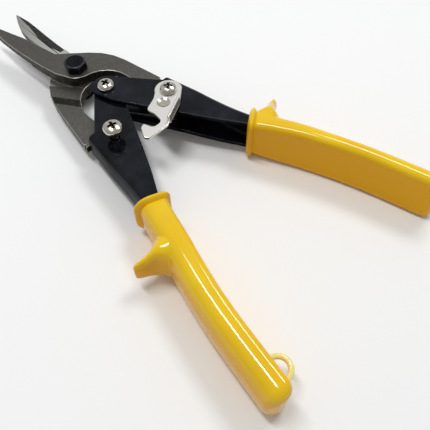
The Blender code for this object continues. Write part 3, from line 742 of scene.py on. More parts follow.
def settle(made: Object, body: Body, node: str) -> None:
    """Put a piece on its body in place of a CAD node.

    Args:
        made: The piece.
        body: The body that it rides on.
        node: The CAD node that it stands for.
    """
    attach(made, body.value)
    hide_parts(node)
    LOG.info("%s rides on %s, %d faces", made.name, body.value, len(made.data.polygons))


class JawZone(IntEnum):
    """Surfaces of a jaw, as indices of its finishes."""

    FORGED = 0
    GROUND = 1
    FLANK = 2
    RIM_WEAR_AND_HIGHLIGHT = 3
    RELIEF_PAINTED_SHADE = 4


@dataclass
class Jaws:
    """The two forged jaws: satin tops, ground shear faces, steps painted dark as shade, darker flanks, and
    rims painted bright as wear with a highlight.

    A face's lift is its normal's share towards the shear side. A face whose lift is under
    upright is a flank, or a relief if the lift is over step. Of the other faces on the shear
    side, those near the plane where the jaws slide are ground if their lift is over flat, and
    else a relief too. Edges that turn less than fold, in degrees, are shaded smooth, and those
    that turn more than corner become rims.
    """

    rim: float = 0.3
    rim_steps: int = 5
    fold: float = 22.0
    corner: float = 60.0
    flat: float = 0.998
    upright: float = 0.9
    step: float = 0.3
    near: float = 1.8

    def zone(self, face: BMFace, shear_up: bool) -> JawZone:
        """Say which surface of a jaw a face belongs to.

        Args:
            face: The face, in millimetres.
            shear_up: Whether the jaw's shear face looks up.

        Returns:
            The zone.
        """
        lift = face.normal.z if shear_up else -face.normal.z
        if abs(lift) < self.upright:
            return JawZone.RELIEF_PAINTED_SHADE if lift > self.step else JawZone.FLANK
        middle = face.calc_center_median()
        if lift < 0 or abs(middle.z - MIDDLE) > self.near:
            return JawZone.FORGED
        return JawZone.GROUND if lift > self.flat else JawZone.RELIEF_PAINTED_SHADE

    def build(self) -> None:
        """Build both jaws and put them on their bodies."""
        for body, shear_up in ((Body.UPPER_JAW, False), (Body.LOWER_JAW, True)):
            bm = copy_of(body.value)
            # Faces in the relief zone take its painted shade
            for face in bm.faces:
                face.material_index = self.zone(face, shear_up)
            borders = [e for e in bm.edges if len({f.material_index for f in e.link_faces}) > 1]
            soft = [e for e in borders if e.calc_face_angle() <= math.radians(self.fold)]
            break_edges(bm, soft, self.rim)
            # Rims are painted bright, as wear and as a painted highlight along the edge
            for face in break_edges(bm, folds(bm, self.corner), self.rim, self.rim_steps):
                face.material_index = JawZone.RIM_WEAR_AND_HIGHLIGHT
            finishes = (FORGED, GROUND, FLANK, RIM_WEAR_AND_HIGHLIGHT, RELIEF_PAINTED_SHADE)
            piece = make_piece(f"{body.value}_forging", bm, finishes, self.fold)
            settle(piece, body, body.value)


@dataclass(frozen=True)
class Sleeve:
    """What differs between the two dipped sleeves.

    The collar and the horn, which is the finger guard, have places along Y. The horn has a
    lean of its tip to the tail, a flare of its front and a stretch of its reach. The sleeve
    may end short of the other, and behind its collar it eases into a shift outward and a
    spare half width.
    """

    body: Body
    node: str
    side: Side
    collar: float
    horn: float
    lean: float
    flare: float
    stretch: float
    short: float
    shift: float
    spare: float


RIGHT_SLEEVE = Sleeve(
    Body.RIGHT_HANDLE, "right_grip", Side.RIGHT, collar=-88.2, horn=-96.2, lean=-2.6, flare=1.1, stretch=1.03,
    short=3.0, shift=0.7, spare=-0.45,
)
LEFT_SLEEVE = Sleeve(
    Body.LEFT_HANDLE, "left_grip", Side.LEFT, collar=-87.2, horn=-110.0, lean=1.0, flare=1.0, stretch=0.97,
    short=0.0, shift=-0.7, spare=0.5,
)


@dataclass
class Grips:
    """The dipped vinyl sleeves, each with a rolled rim, a finger guard and a rounded end.

    Lines are pairs of a place along Y and a value, for a sleeve on the right. The horn's
    lines are pairs of a reach from its root and a half size there. The mouth is pairs of an
    inset and a place behind the collar, from the pocket round to the rim.
    """

    line: Knots = (
        (-180.0, 57.9), (-165.0, 54.9), (-142.0, 49.7), (-120.0, 43.1), (-97.0, 34.8), (-87.0, 31.1)
    )
    half_width: Knots = ((-180.0, 5.2), (-142.0, 5.2), (-97.0, 5.9), (-87.0, 6.6))
    half_height: Knots = ((-180.0, MIDDLE), (-116.0, MIDDLE), (-87.0, 10.4))
    round_across: Knots = ((-120.0, 1.35), (-87.0, 1.15))
    round_up: Knots = ((-120.0, 0.88), (-87.0, 0.74))
    squareness: float = 0.8
    inner_corner: float = 2.8
    least_corner: float = 0.6
    corner_inset: float = 0.5
    wall: float = 1.6
    draw_in: float = 0.1
    ease: float = 25.0
    end: float = -179.5
    end_round: float = 4.5
    end_turn: float = math.radians(84.0)
    pocket_end: float = -172.5
    slant: float = math.radians(12.0)
    slant_fade: float = 25.0
    slope_step: float = 1.0
    mouth: Knots = ((1.6, 0.5), (1.4, 0.15), (1.0, 0.0), (0.5, 0.1))
    rim_start: float = 0.06
    rim_rise: float = 1.5
    rim_inset: float = 0.4
    rim_length: float = 3.6
    rim_gap: float = 0.4
    neck: float = 8.0
    horn_root: float = 4.5
    horn_reach: float = 17.6
    horn_front: Knots = (
        (0.0, 9.0), (4.5, 7.4), (7.0, 4.8), (9.5, 3.1), (12.5, 2.3), (16.9, 2.0), (17.6, 1.4)
    )
    horn_rear: Knots = (
        (0.0, 9.2), (4.5, 6.8), (7.0, 4.2), (9.5, 2.7), (12.5, 2.0), (16.9, 1.9), (17.6, 1.3)
    )
    horn_depth: Knots = ((0.0, 11.4), (4.5, 11.0), (8.0, 9.6), (12.0, 7.4), (16.9, 5.4), (17.6, 3.6))
    horn_span: float = 9.5
    horn_on_rim: float = 0.5
    soft_from: float = 0.4
    soft_rounds: int = 3
    loop_place: float = -168.8
    loop_radius: float = 5.8
    loop_hole: float = 3.5
    loop_thick: float = 2.4
    loop_square: float = 0.275
    loop_setback: float = 1.85
    loop_sunk: float = 0.8
    loop_sides: int = 20
    loop_steps: int = 72
    quarter_steps: int = 40
    outer_steps: int = 100
    corner_steps: int = 7
    face_steps: int = 12
    pocket_rings: int = 16
    rim_rings: int = 20
    neck_gap: float = 1.5
    horn_rings: int = 96
    horn_samples: int = 200
    horn_halvings: int = 24
    body_gap: float = 1.6
    end_rings: int = 12
    smooth: float = 60.0

    def __post_init__(self) -> None:
        """Turn the lines into curves."""
        self.middle_at = flow(self.line)
        self.width_at = flow(self.half_width)
        self.height_at = flow(self.half_height)
        self.across_at = flow(self.round_across)
        self.up_at = flow(self.round_up)
        self.front_at = flow(self.horn_front)
        self.rear_at = flow(self.horn_rear)
        self.depth_at = flow(self.horn_depth)

    def axes(self, y: float, turn: float = 0.0) -> tuple[Vector, Vector]:
        """Find a sleeve's directions.

        Args:
            y: The place along Y.
            turn: How far the first direction is turned, in radians.

        Returns:
            Unit vectors across the sleeve, outward, and along it to the tail.
        """
        fall = self.middle_at(y - self.slope_step) - self.middle_at(y + self.slope_step)
        lean = math.atan2(fall, 2 * self.slope_step)
        across = Vector((math.cos(lean + turn), math.sin(lean + turn), 0))
        return across, Vector((math.sin(lean), -math.cos(lean), 0))

    def place(self, sleeve: Sleeve, y: float) -> tuple[Vector, float]:
        """Find a sleeve's middle.

        Args:
            sleeve: The sleeve.
            y: The place along Y.

        Returns:
            The middle and the half width there.
        """
        ease = min(1.0, max(0.0, (sleeve.collar - y) / self.ease))
        middle = Vector((self.middle_at(y) + sleeve.shift * ease, y, MIDDLE))
        return middle, self.width_at(y) + sleeve.spare * ease

    def end_start(self, sleeve: Sleeve) -> float:
        """Return the place along Y where a sleeve begins to round to its end."""
        return self.end + sleeve.short + self.end_round

    def section(self, half: float, height: float, across: float, up: float, inner: float) -> Ring:
        """Draw a sleeve's section: a squarish elliptical outer side and tight inner corners.

        Args:
            half: Half the section's width.
            height: Half its height.
            across: The outer ellipse's radius across.
            up: The outer ellipse's radius upward.
            inner: The radius of the inner corners.

        Returns:
            The section's places, with x across and y up.
        """
        quarter = spaced(0.0, math.pi / 2, self.quarter_steps)
        outer = []
        for side, turns in ((-1, quarter[::-1]), (1, quarter)):
            for turn in turns:
                reach = half - across + across * abs(math.cos(turn)) ** self.squareness
                rise = height - up + up * math.sin(turn) ** self.squareness
                outer.append(Vector((reach, side * rise, 0)))
        level = height - inner
        top, low = (
            circle((inner - half, rise), inner, spaced(start, start + math.pi / 2, self.corner_steps))
            for rise, start in ((level, math.pi / 2), (-level, math.pi))
        )
        face = [Vector((-half, rise, 0)) for rise in spaced(level, -level, self.face_steps)[1:-1]]
        return evenly(outer, self.outer_steps) + top + face + low

    def ring(self, sleeve: Sleeve, y: float, inset: float, along: float = 0.0) -> Ring:
        """Draw one ring of a sleeve.

        Args:
            sleeve: The sleeve.
            y: Its place along Y.
            inset: How far it is drawn in from the skin.
            along: How far it is moved towards the tail.

        Returns:
            The ring's places.
        """
        fade = max(0.0, 1 - abs(y - sleeve.collar) / self.slant_fade)
        slant = self.slant * fade * fade
        across, tailward = self.axes(y, slant)
        middle, half = self.place(sleeve, y)
        half = (half - inset - self.draw_in) / math.cos(slant)
        height = self.height_at(y) - inset - self.draw_in
        inner = max(self.least_corner, min(self.inner_corner - inset * self.corner_inset, half))
        wide = min(self.across_at(y) * half, 2 * half - inner)
        flat = self.section(half, height, wide, self.up_at(y) * height, inner)
        return [middle + tailward * along + across * p.x + Vector((0, 0, p.y)) for p in flat]

    def horned(self, sleeve: Sleeve, ring: Ring) -> Ring:
        """Lift the places of a ring that lie under the finger guard out to its surface.

        Args:
            sleeve: The sleeve.
            ring: The ring's places on the plain sleeve.

        Returns:
            The ring's places with the guard.
        """
        out, tailward = self.axes(sleeve.horn)
        middle, half = self.place(sleeve, sleeve.horn)
        foot = middle + out * (half - self.horn_root)
        lifted = []
        for spot in ring:
            offset = spot - foot
            reach = offset.dot(out)
            if reach > 0:
                top = self.horn_level(sleeve, offset.dot(tailward), offset.z)
                spot = spot + out * max(0.0, top - reach)
            lifted.append(spot)
        return lifted

    def horn_level(self, sleeve: Sleeve, along: float, rise: float) -> float:
        """Find the finger guard's surface by halving.

        Args:
            sleeve: The sleeve.
            along: The place along the sleeve, towards the tail from the guard's middle.
            rise: The place up from the sleeve's middle.

        Returns:
            How far the guard reaches there from its root.
        """
        low, high = 0.0, self.horn_reach
        for _ in range(self.horn_halvings):
            reach = (low + high) / 2
            offset = along - sleeve.lean * reach / self.horn_reach
            across = offset / (self.rear_at(reach) if offset > 0 else sleeve.flare * self.front_at(reach))
            inside = across ** 2 + (rise / self.depth_at(reach)) ** 2 < 1
            low, high = (reach, high) if inside else (low, reach)
        return low * sleeve.stretch

    def stations(self, sleeve: Sleeve) -> list[float]:
        """Place the rings of a sleeve's body, close together under the horn.

        Args:
            sleeve: The sleeve.

        Returns:
            Their places along Y, from the rim to the rounded end.
        """
        first = sleeve.collar - self.rim_length - self.rim_gap
        last = self.end_start(sleeve)
        along = spaced(-self.horn_span, self.horn_span, self.horn_samples)
        profile = [Vector((a, self.horn_level(sleeve, a, 0.0))) for a in along]
        near = [sleeve.horn - spot.x for spot in evenly(profile, self.horn_rings)]
        near = [y for y in near if y < first]
        before = spaced(first, near[0], max(2, round((first - near[0]) / self.neck_gap) + 1))[:-1]
        after = spaced(near[-1], last, round((near[-1] - last) / self.body_gap) + 1)[1:]
        return before + near + after

    def skin(self, sleeve: Sleeve) -> BMesh:
        """Build one sleeve from the bottom of its pocket, round its rim, to its end.

        Args:
            sleeve: The sleeve.

        Returns:
            The closed skin.
        """
        pocket = spaced(self.pocket_end, sleeve.collar, self.pocket_rings)
        rings = [self.ring(sleeve, y, self.wall) for y in pocket]
        rings += [self.ring(sleeve, sleeve.collar, inset, along) for inset, along in self.mouth]
        for t in spaced(self.rim_start, 1.0, self.rim_rings):
            swell = (self.rim_rise + self.rim_inset) * math.sin(math.pi * t)
            ring = self.ring(sleeve, sleeve.collar, self.rim_inset - swell, self.rim_length * t)
            rings.append(self.horned(sleeve, ring) if t > self.horn_on_rim else ring)
        for y in self.stations(sleeve):
            inset = self.rim_inset * (1 - eased((sleeve.collar - y) / self.neck))
            rings.append(self.horned(sleeve, self.ring(sleeve, y, inset)))
        for turn in spaced(0.0, self.end_turn, self.end_rings)[1:]:
            inset = self.end_round * (1 - math.cos(turn))
            rings.append(self.ring(sleeve, self.end_start(sleeve), inset, self.end_round * math.sin(turn)))
        bm = sweep(rings)
        self.soften_horn(bm, sleeve)
        return bm

    def soften_horn(self, bm: BMesh, sleeve: Sleeve) -> None:
        """Round the tip and the foot of the finger guard, as a dip leaves them.

        Args:
            bm: The sleeve's skin.
            sleeve: The sleeve.
        """
        out, tailward = self.axes(sleeve.horn)
        middle, half = self.place(sleeve, sleeve.horn)
        near = []
        for vert in bm.verts:
            offset = vert.co - middle
            if abs(offset.dot(tailward)) < self.horn_span and offset.dot(out) > self.soft_from * half:
                near.append(vert)
        for _ in range(self.soft_rounds):
            bmesh.ops.smooth_vert(
                bm, verts=near, factor=0.5, use_axis_x=True, use_axis_y=True, use_axis_z=True
            )

    def hanging_loop(self, sleeve: Sleeve) -> BMesh:
        """Build the flat ring on a sleeve's inner side, cut off inside the sleeve's wall.

        Args:
            sleeve: The sleeve.

        Returns:
            The closed ring.
        """
        out, _ = self.axes(self.loop_place)
        middle, half = self.place(sleeve, self.loop_place)
        bm = bmesh.new()
        radius = (self.loop_radius - self.loop_hole) / 2
        for vert in bmesh.ops.create_circle(bm, segments=self.loop_sides, radius=1.0)["verts"]:
            x, z = vert.co.xy
            square = max(abs(x), abs(z)) ** -self.loop_square
            reach = self.loop_hole + radius * (1 + x * square)
            vert.co = Vector((reach, 0.0, self.loop_thick / 2 * z * square))
        bmesh.ops.spin(
            bm, geom=bm.edges[:], cent=(0, 0, 0), axis=(0, 0, 1), angle=2 * math.pi,
            steps=self.loop_steps, use_merge=True,
        )
        bmesh.ops.remove_doubles(bm, verts=bm.verts, dist=SPIN_MERGE)
        bmesh.ops.translate(bm, vec=middle - out * (half + self.loop_setback), verts=bm.verts)
        inside = middle - out * (half - self.loop_sunk)
        bmesh.ops.bisect_plane(
            bm, geom=bm.verts[:] + bm.edges[:] + bm.faces[:], plane_co=inside, plane_no=out, clear_outer=True
        )
        bmesh.ops.holes_fill(bm, edges=[e for e in bm.edges if e.is_boundary])
        return bm

    def build(self) -> None:
        """Build both sleeves and the loop and put them on the handles."""
        for sleeve in (RIGHT_SLEEVE, LEFT_SLEEVE):
            parts = [(f"{sleeve.node}_sleeve", self.skin(sleeve), YELLOW)]
            if sleeve.side is Side.LEFT:
                parts.append(("hanging_loop", self.hanging_loop(sleeve), PALE))
            for name, bm, finish in parts:
                bmesh.ops.scale(bm, vec=(sleeve.side, 1, 1), verts=bm.verts)
                bmesh.ops.recalc_face_normals(bm, faces=bm.faces)
                settle(make_piece(name, bm, (finish,), self.smooth), sleeve.body, sleeve.node)


@dataclass
class Handles:
    """The two stamped channels: a web outside, two plates, and bends that open to the tail.

    Lines are pairs of a place along Y and a value, for a handle on the right. Inside its
    grip the channel follows the sleeve's own line. Each plate has an eye round the handle
    pivot, and the outer plate's is larger because no jaw turns beside it.
    """

    grips: Grips
    sheet: float = 2.0
    pivot_hole: float = 2.8
    tang_hole: float = 2.3
    eye: float = 6.3
    outer_eye: float = 7.7
    plates: tuple[float, float] = (6.7, 20.6)
    lip_direction: tuple[float, float] = (0.445, -0.895)
    lip_straight: float = -58.0
    lip_flare: tuple[float, float] = (-77.0, 0.7)
    lip_margin: float = 4.0
    front_direction: tuple[float, float] = (0.642, -0.766)
    front_length: float = 27.0
    web_line: Knots = (
        (-86.0, 35.1), (-77.0, 32.8), (-67.0, 30.9), (-56.0, 29.2), (-36.0, 25.6), (0.0, 20.5)
    )
    mouth: float = -88.2
    mouth_ease: float = 10.0
    bend: Knots = ((-112.0, 3.6), (-88.2, 4.2), (-58.0, 3.0))
    play: Knots = ((-112.0, 1.7), (-88.2, 0.55))
    front: float = -10.0
    web_middle: float = -44.0
    flare_start: float = -56.0
    flare_end: float = -116.0
    tail: float = -171.5
    far: float = 90.0
    edge: float = 0.5
    fold: float = 38.0
    smooth: float = 40.0
    inside_steps: int = 5
    bend_steps: int = 9
    eye_steps: int = 25
    lip_steps: int = 46
    hole_steps: int = 32
    flare_steps: int = 41
    tail_steps: int = 8

    def __post_init__(self) -> None:
        """Turn the lines into curves: web, lip, top and bottom of the channel along Y."""
        play = flow(self.play)
        inside = spaced(self.grips.end, self.mouth - self.mouth_ease, self.inside_steps)

        def half_width(y: float) -> float:
            """Return half the channel's width along X inside its grip."""
            lean = math.acos(self.grips.axes(y)[0].x)
            return (self.grips.width_at(y) - self.grips.wall - play(y)) / math.cos(lean)

        def half_height(y: float) -> float:
            """Return half the channel's height inside its grip."""
            return self.grips.height_at(y) - self.grips.wall - play(y)

        middle = self.grips.middle_at
        web = [(y, middle(y) + half_width(y)) for y in inside] + list(self.web_line)
        lip = [(y, middle(y) - half_width(y)) for y in (*inside, self.mouth)]
        ahead = Vector(self.lip_direction)
        start = Vector(HANDLE_PIVOT) + self.eye * Vector((ahead.y, -ahead.x))
        for y, flare in (self.lip_flare, (self.lip_straight, 0.0), (start.y, 0.0)):
            lip.append((y, start.x + (y - start.y) * ahead.x / ahead.y + flare))
        rims = []
        for side, level in zip((-1, 1), self.plates):
            rim = [(self.flare_start, level), (0.0, level)]
            rim += [(y, MIDDLE + side * half_height(y)) for y in (self.flare_end, self.mouth)]
            rims.append(flow(rim))
        self.web_at = flow(web)
        self.lip_at = flow(lip)
        self.low_at, self.top_at = rims
        self.bend_at = flow(self.bend)

    def section(self, y: float) -> Ring:
        """Draw the U section, from the top lip round the web and back inside.

        Args:
            y: The place along Y.

        Returns:
            The section's places.
        """
        web, lip, radius = self.web_at(y), self.lip_at(y) - self.lip_margin, self.bend_at(y)
        top, low = self.top_at(y), self.low_at(y)
        skins = []
        for depth in (0.0, self.sheet):
            skin = [Vector((lip, y, top - depth))]
            reach = radius - depth
            for z, start in ((top - radius, math.pi / 2), (low + radius, 0.0)):
                for turn in spaced(start, start - math.pi / 2, self.bend_steps):
                    across = web - radius + reach * math.cos(turn)
                    skin.append(Vector((across, y, z + reach * math.sin(turn))))
            skin.append(Vector((lip, y, low + depth)))
            skins.append(skin)
        return skins[0] + skins[1][::-1]

    def plan(self, eye: float, level: float) -> Ring:
        """Draw the trimmed outline: eye, slanted front, web end, and lip down to the tail.

        Args:
            eye: The radius of the eye round the handle pivot.
            level: The outline's height.

        Returns:
            The outline's places.
        """
        ahead, front = Vector(self.lip_direction), Vector((*self.front_direction, 0.0))
        first = math.atan2(-ahead.x, ahead.y) + 2 * math.pi
        last = math.atan2(front.x, -front.y)
        outline = circle(HANDLE_PIVOT, eye, spaced(first, last, self.eye_steps), level)
        foot = circle(HANDLE_PIVOT, self.eye, (last,), level)[0] + front * self.front_length
        lip = spaced(self.tail, self.lip_straight, self.lip_steps)
        outline += [foot, Vector((self.far, foot.y, level)), Vector((self.far, self.tail, level))]
        return outline + [Vector((self.lip_at(y), y, level)) for y in lip]

    def stamping(self) -> BMesh:
        """Build the right handle: the swept channel, trimmed to its plan and drilled.

        Returns:
            The stamping, with its edges broken.
        """
        stations = [self.front, self.web_middle]
        stations += spaced(self.flare_start, self.flare_end, self.flare_steps)
        stations += spaced(self.flare_end, self.grips.end, self.tail_steps)[1:]
        low, high = self.plates[0] + 2 * self.sheet, self.plates[1] - 2 * self.sheet
        trim = [self.plan(self.eye, level) for level in (BELOW, low)]
        trim += [self.plan(self.outer_eye, level) for level in (high, ABOVE)]
        bm = carve(sweep([self.section(y) for y in stations]), sweep(trim), Cut.SHARED)
        turns = spaced(0.0, 2 * math.pi, self.hole_steps + 1)[:-1]
        for place, radius in ((HANDLE_PIVOT, self.pivot_hole), (TANG_PIVOT, self.tang_hole)):
            drill = sweep([circle(place, radius, turns, level) for level in (BELOW, ABOVE)])
            bm = carve(bm, drill, Cut.REST)
        break_edges(bm, folds(bm, self.fold), self.edge)
        return bm

    def build(self) -> None:
        """Build both stampings; the left one is the right one turned over."""
        over = Matrix.Rotation(math.pi, 3, "Y")
        for body in (Body.RIGHT_HANDLE, Body.LEFT_HANDLE):
            bm = self.stamping()
            if body is Body.LEFT_HANDLE:
                bmesh.ops.rotate(bm, cent=(0, 0, MIDDLE), matrix=over, verts=bm.verts)
            piece = make_piece(f"{body.value}_stamping", bm, (LACQUER,), self.smooth)
            settle(piece, body, body.value)


class FittingZone(IntEnum):
    """Surfaces of a fitting, as indices of its finishes."""

    FACE = 0
    EDGE = 1
    RECESS_PAINTED_SHADE = 2


@dataclass
class Hardware:
    """The bolt, screws, nuts, washers and the latch: merged copies with broken edges.

    The dimple of the latch has a place and a radius, and is as bright as its edges. A screw's
    recess has a radius and a depth; it lies below the crown, and its rim turns aside from the
    head's dome.
    """

    edge: float = 0.2
    latch_edge: float = 0.25
    bolt_edge: float = 0.3
    thin_edge: float = 0.1
    dimple: tuple[float, float] = (10.1, -53.55)
    dimple_radius: float = 3.05
    recess_radius: float = 2.5
    recess_depth: float = 1.9
    crown: float = 0.35
    rim_turn: float = 0.2
    fold: float = 24.0
    smooth: float = 30.0

    def mark(self, node: str, bm: BMesh) -> None:
        """Give the latch's dimple its own finish, and paint shade into the screws' recesses.

        Args:
            node: The fitting's node.
            bm: The fitting, in millimetres.
        """
        top = max(vert.co.z for vert in bm.verts)
        for face in bm.faces:
            middle = face.calc_center_median()
            if node == "latch" and (middle.xy - Vector(self.dimple)).length < self.dimple_radius:
                face.material_index = FittingZone.EDGE
            if node in SCREWS:
                deep = self.crown < top - middle.z < self.recess_depth
                # Faces deep in a screw's recess are painted dark as shade
                if deep and (middle.xy - Vector(SCREWS[node])).length < self.recess_radius:
                    face.material_index = FittingZone.RECESS_PAINTED_SHADE

    def edge_zone(self, node: str, face: BMFace) -> FittingZone:
        """Say whether a face of a broken edge turns down into a screw's recess, where shade is painted.

        Args:
            node: The fitting's node.
            face: The face, in millimetres.

        Returns:
            The zone.
        """
        if node not in SCREWS:
            return FittingZone.EDGE
        out = face.calc_center_median().xy - Vector(SCREWS[node])
        lean = face.normal.xy
        aside = lean - lean.project(out) if lean.dot(out) > 0 else lean
        in_rim = out.length < self.recess_radius and aside.length > self.rim_turn
        return FittingZone.RECESS_PAINTED_SHADE if in_rim else FittingZone.EDGE

    def build(self) -> None:
        """Build every fitting and put it on its body."""
        plated = (NICKEL, NICKEL)
        screw = (*plated, RECESS_PAINTED_SHADE)
        black = (OXIDE, OXIDE_EDGE)
        fittings = (
            ("latch", Body.LATCH, (SATIN, NICKEL), self.latch_edge),
            ("pivot_bolt", Body.UPPER_JAW, black, self.bolt_edge),
            ("pivot_washer", Body.UPPER_JAW, plated, self.edge),
            ("pivot_lock_nut", Body.UPPER_JAW, black, self.edge),
            ("handle_pivot_screw", Body.RIGHT_HANDLE, screw, self.edge),
            ("handle_pivot_nut", Body.RIGHT_HANDLE, plated, self.edge),
            ("latch_screw", Body.RIGHT_HANDLE, screw, self.edge),
            ("latch_screw_nut", Body.RIGHT_HANDLE, plated, self.edge),
            ("latch_washer", Body.RIGHT_HANDLE, plated, self.thin_edge),
            ("latch_post_screw", Body.LEFT_HANDLE, screw, self.edge),
            ("latch_post_nut", Body.LEFT_HANDLE, plated, self.edge),
        )
        for node, body, finishes, edge in fittings:
            bm = copy_of(node)
            self.mark(node, bm)
            for face in break_edges(bm, folds(bm, self.fold), edge):
                face.material_index = self.edge_zone(node, face)
            piece = make_piece(f"{node}_dressed", bm, finishes, self.smooth)
            settle(piece, body, node)


@dataclass
class Bearings:
    """The bronze sleeve and bushes inside the handles, which keep their CAD shape."""

    nodes: tuple[str, ...] = ("handle_pivot_sleeve", "right_tang_bush", "left_tang_bush")

    def build(self) -> None:
        """Give the bearings their oiled bronze."""
        for node in self.nodes:
            mesh = bpy.data.objects[node].data
            mesh.materials.clear()
            mesh.materials.append(BRONZE.make())
            LOG.info("%s keeps its CAD shape", node)


@dataclass
class ReturnSpring:
    """The torsion spring that opens the handles: a coil on the handle pivot with two legs.

    Each leg passes a tang pivot at its side and ends past it. The coil climbs from the lower
    leg's height to as far above the tool's middle.
    """

    wire: float = 1.2
    coil: float = 5.3
    extra_turns: int = 2
    low: float = 9.7
    leg_past: float = 4.0
    leg_side: float = 6.1
    leg_steps: int = 12
    steps_per_turn: int = 36
    sides: int = 12
    smooth: float = 50.0

    @property
    def high(self) -> float:
        """Return the upper leg's height, as far from the tool's middle as the lower leg's."""
        return 2 * MIDDLE - self.low

    def path(self) -> Ring:
        """Draw the wire's middle line: lower leg, coil, upper leg.

        Returns:
            The line's places.
        """
        pivot = Vector(HANDLE_PIVOT)
        arm = Vector(TANG_PIVOT) - pivot
        ahead = arm.normalized()
        side = Vector((ahead.y, -ahead.x))
        near = pivot + side * self.coil
        far = pivot + ahead * (arm.length + self.leg_past) + side * self.leg_side
        start = math.atan2(side.y, side.x)
        sweep_angle = 2 * math.pi * self.extra_turns + (2 * start + math.pi) % (2 * math.pi)
        count = round(sweep_angle / (2 * math.pi) * self.steps_per_turn)
        leg = [far.lerp(near, t) for t in spaced(0.0, 1.0, self.leg_steps)[:-1]]
        coil = circle(HANDLE_PIVOT, self.coil, spaced(start, start - sweep_angle, count + 1))
        for spot, rise in zip(coil, spaced(self.low, self.high, count + 1)):
            spot.z = rise
        first = [Vector((p.x, p.y, self.low)) for p in leg]
        return first + coil + [Vector((-p.x, p.y, self.high)) for p in reversed(leg)]

    def build(self) -> None:
        """Build the wire between the two handles."""
        line = self.path()
        turns = spaced(0.0, 2 * math.pi, self.sides + 1)[:-1]
        rings = []
        for i, spot in enumerate(line):
            ahead = (line[min(i + 1, len(line) - 1)] - line[max(i - 1, 0)]).normalized()
            flat = Vector((ahead.y, -ahead.x, 0)).normalized()
            up = flat.cross(ahead)
            rings.append([spot + (flat * math.cos(a) + up * math.sin(a)) * self.wire / 2 for a in turns])
        piece = make_piece("return_spring_wire", sweep(rings), (WIRE_STEEL,), self.smooth)
        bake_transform(piece)
        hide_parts("return_spring")
        LOG.info("%s winds between the handles, %d faces", piece.name, len(piece.data.polygons))


@dataclass(frozen=True)
class Lamp:
    """A soft lamp, with its power in watts."""

    name: str
    power: float
    size: tuple[float, float]
    place: Triple

    def hang(self) -> None:
        """Hang the lamp so that it faces the tool's length."""
        lamp = bpy.data.lights.new(self.name, "AREA")
        lamp.shape = "RECTANGLE"
        lamp.energy = self.power
        lamp.size, lamp.size_y = (side * MM for side in self.size)
        made = bpy.data.objects.new(self.name, lamp)
        place = Vector(self.place) * MM
        made.location = place
        aim = Vector((0.0, place.y, 0.0)) - place
        made.rotation_euler = aim.to_track_quat("-Z", "Y").to_euler()
        bpy.context.scene.collection.objects.link(made)


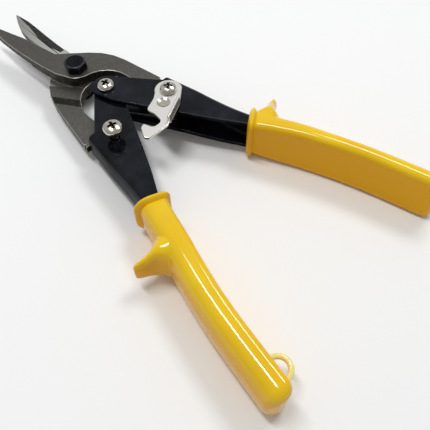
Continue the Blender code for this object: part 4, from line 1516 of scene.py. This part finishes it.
@dataclass
class Studio:
    """The pale floor, the soft room light and the camera of the photograph.

    The camera's focal length is in pixels of the photograph's width. It aims at a place on the
    floor, so far to its right and so far ahead of the origin. The sky's colours run from the
    dim half of the room to the brightest side.
    """

    floor_colour: str = "#F8F9F9"
    floor_size: float = 6000.0
    floor_gap: float = 0.05
    floor_roughness: float = 0.9
    floor_gloss: float = 0.1
    image: float = 430.0
    focal: float = 500.0
    sensor: float = 36.0
    near_clip: float = 10.0
    elevation: float = math.radians(57.5)
    azimuth: float = math.radians(47.4)
    distance: float = 228.48
    aim: tuple[float, float] = (70.473, -77.114)
    lamps: tuple[Lamp, ...] = (
        Lamp("left_softbox", 4.0, (450.0, 130.0), (-100.0, 150.0, 1000.0)),
        Lamp("right_softbox", 3.8, (420.0, 260.0), (620.0, -60.0, 1000.0)),
    )
    sky_side: Triple = (0.5, 0.7, 0.5)
    sky: tuple[tuple[float, str], ...] = ((0.0, "#9A9998"), (0.5, "#ABABAA"), (1.0, "#C6C8CA"))

    def clear(self) -> None:
        """Remove what Blender starts with."""
        for thing in list(bpy.data.objects):
            bpy.data.objects.remove(thing, do_unlink=True)

    def lay_floor(self) -> None:
        """Lay the plain floor of matt white paper that the tool lies on."""
        bm = bmesh.new()
        bmesh.ops.create_grid(bm, x_segments=1, y_segments=1, size=self.floor_size / 2 * MM)
        bmesh.ops.translate(bm, vec=(0, 0, -self.floor_gap * MM), verts=bm.verts)
        mesh = bpy.data.meshes.new("floor")
        bm.to_mesh(mesh)
        bm.free()
        paper = bpy.data.materials.new("matt_white_paper")
        paper.use_nodes = True
        shader = paper.node_tree.nodes["Principled BSDF"]
        shader.inputs["Base Color"].default_value = linear(self.floor_colour)
        shader.inputs["Roughness"].default_value = self.floor_roughness
        shader.inputs["Specular IOR Level"].default_value = self.floor_gloss
        mesh.materials.append(paper)
        floor = bpy.data.objects.new("floor", mesh)
        bpy.context.scene.collection.objects.link(floor)

    def light_room(self) -> None:
        """Light the room: a soft sky, brightest beyond the tool, and two lamps overhead."""
        scene = bpy.context.scene
        world = bpy.data.worlds.new("studio")
        world.use_nodes = True
        tree = world.node_tree
        toward = add(tree, "ShaderNodeTexCoord").outputs["Generated"]
        side = add(
            tree, "ShaderNodeVectorMath", {1: Vector(self.sky_side).normalized()}, {0: toward},
            operation="DOT_PRODUCT",
        )
        sky = add(tree, "ShaderNodeValToRGB", links={"Fac": side.outputs["Value"]}, ramp=self.sky)
        tree.links.new(sky.outputs["Color"], tree.nodes["Background"].inputs["Color"])
        scene.world = world
        scene.view_settings.view_transform = "Standard"
        for lamp in self.lamps:
            lamp.hang()

    def set_camera(self) -> None:
        """Set the camera where the photograph was taken."""
        turn = Matrix.Rotation(-self.azimuth, 3, "Z")
        ahead = Vector((0.0, math.cos(self.elevation), -math.sin(self.elevation)))
        place = Vector((*self.aim, 0.0)) - ahead * self.distance
        camera = bpy.data.cameras.new("photo_camera")
        camera.sensor_width = self.sensor
        camera.lens = self.sensor * self.focal / self.image
        camera.clip_start = self.near_clip * MM
        made = bpy.data.objects.new("photo_camera", camera)
        made.location = turn @ place * MM
        made.rotation_euler = (turn @ ahead).to_track_quat("-Z", "Y").to_euler()
        bpy.context.scene.collection.objects.link(made)
        bpy.context.scene.camera = made


def main() -> None:
    """Build the tool's looks and the studio round it."""
    logging.basicConfig(level=logging.INFO, format="%(name)s: %(message)s")
    studio = Studio()
    studio.clear()
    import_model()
    grips = Grips()
    for assembly in (Jaws(), Handles(grips), grips, Hardware(), Bearings(), ReturnSpring()):
        assembly.build()
    studio.lay_floor()
    studio.light_room()
    studio.set_camera()


if __name__ == "__main__":
    main()
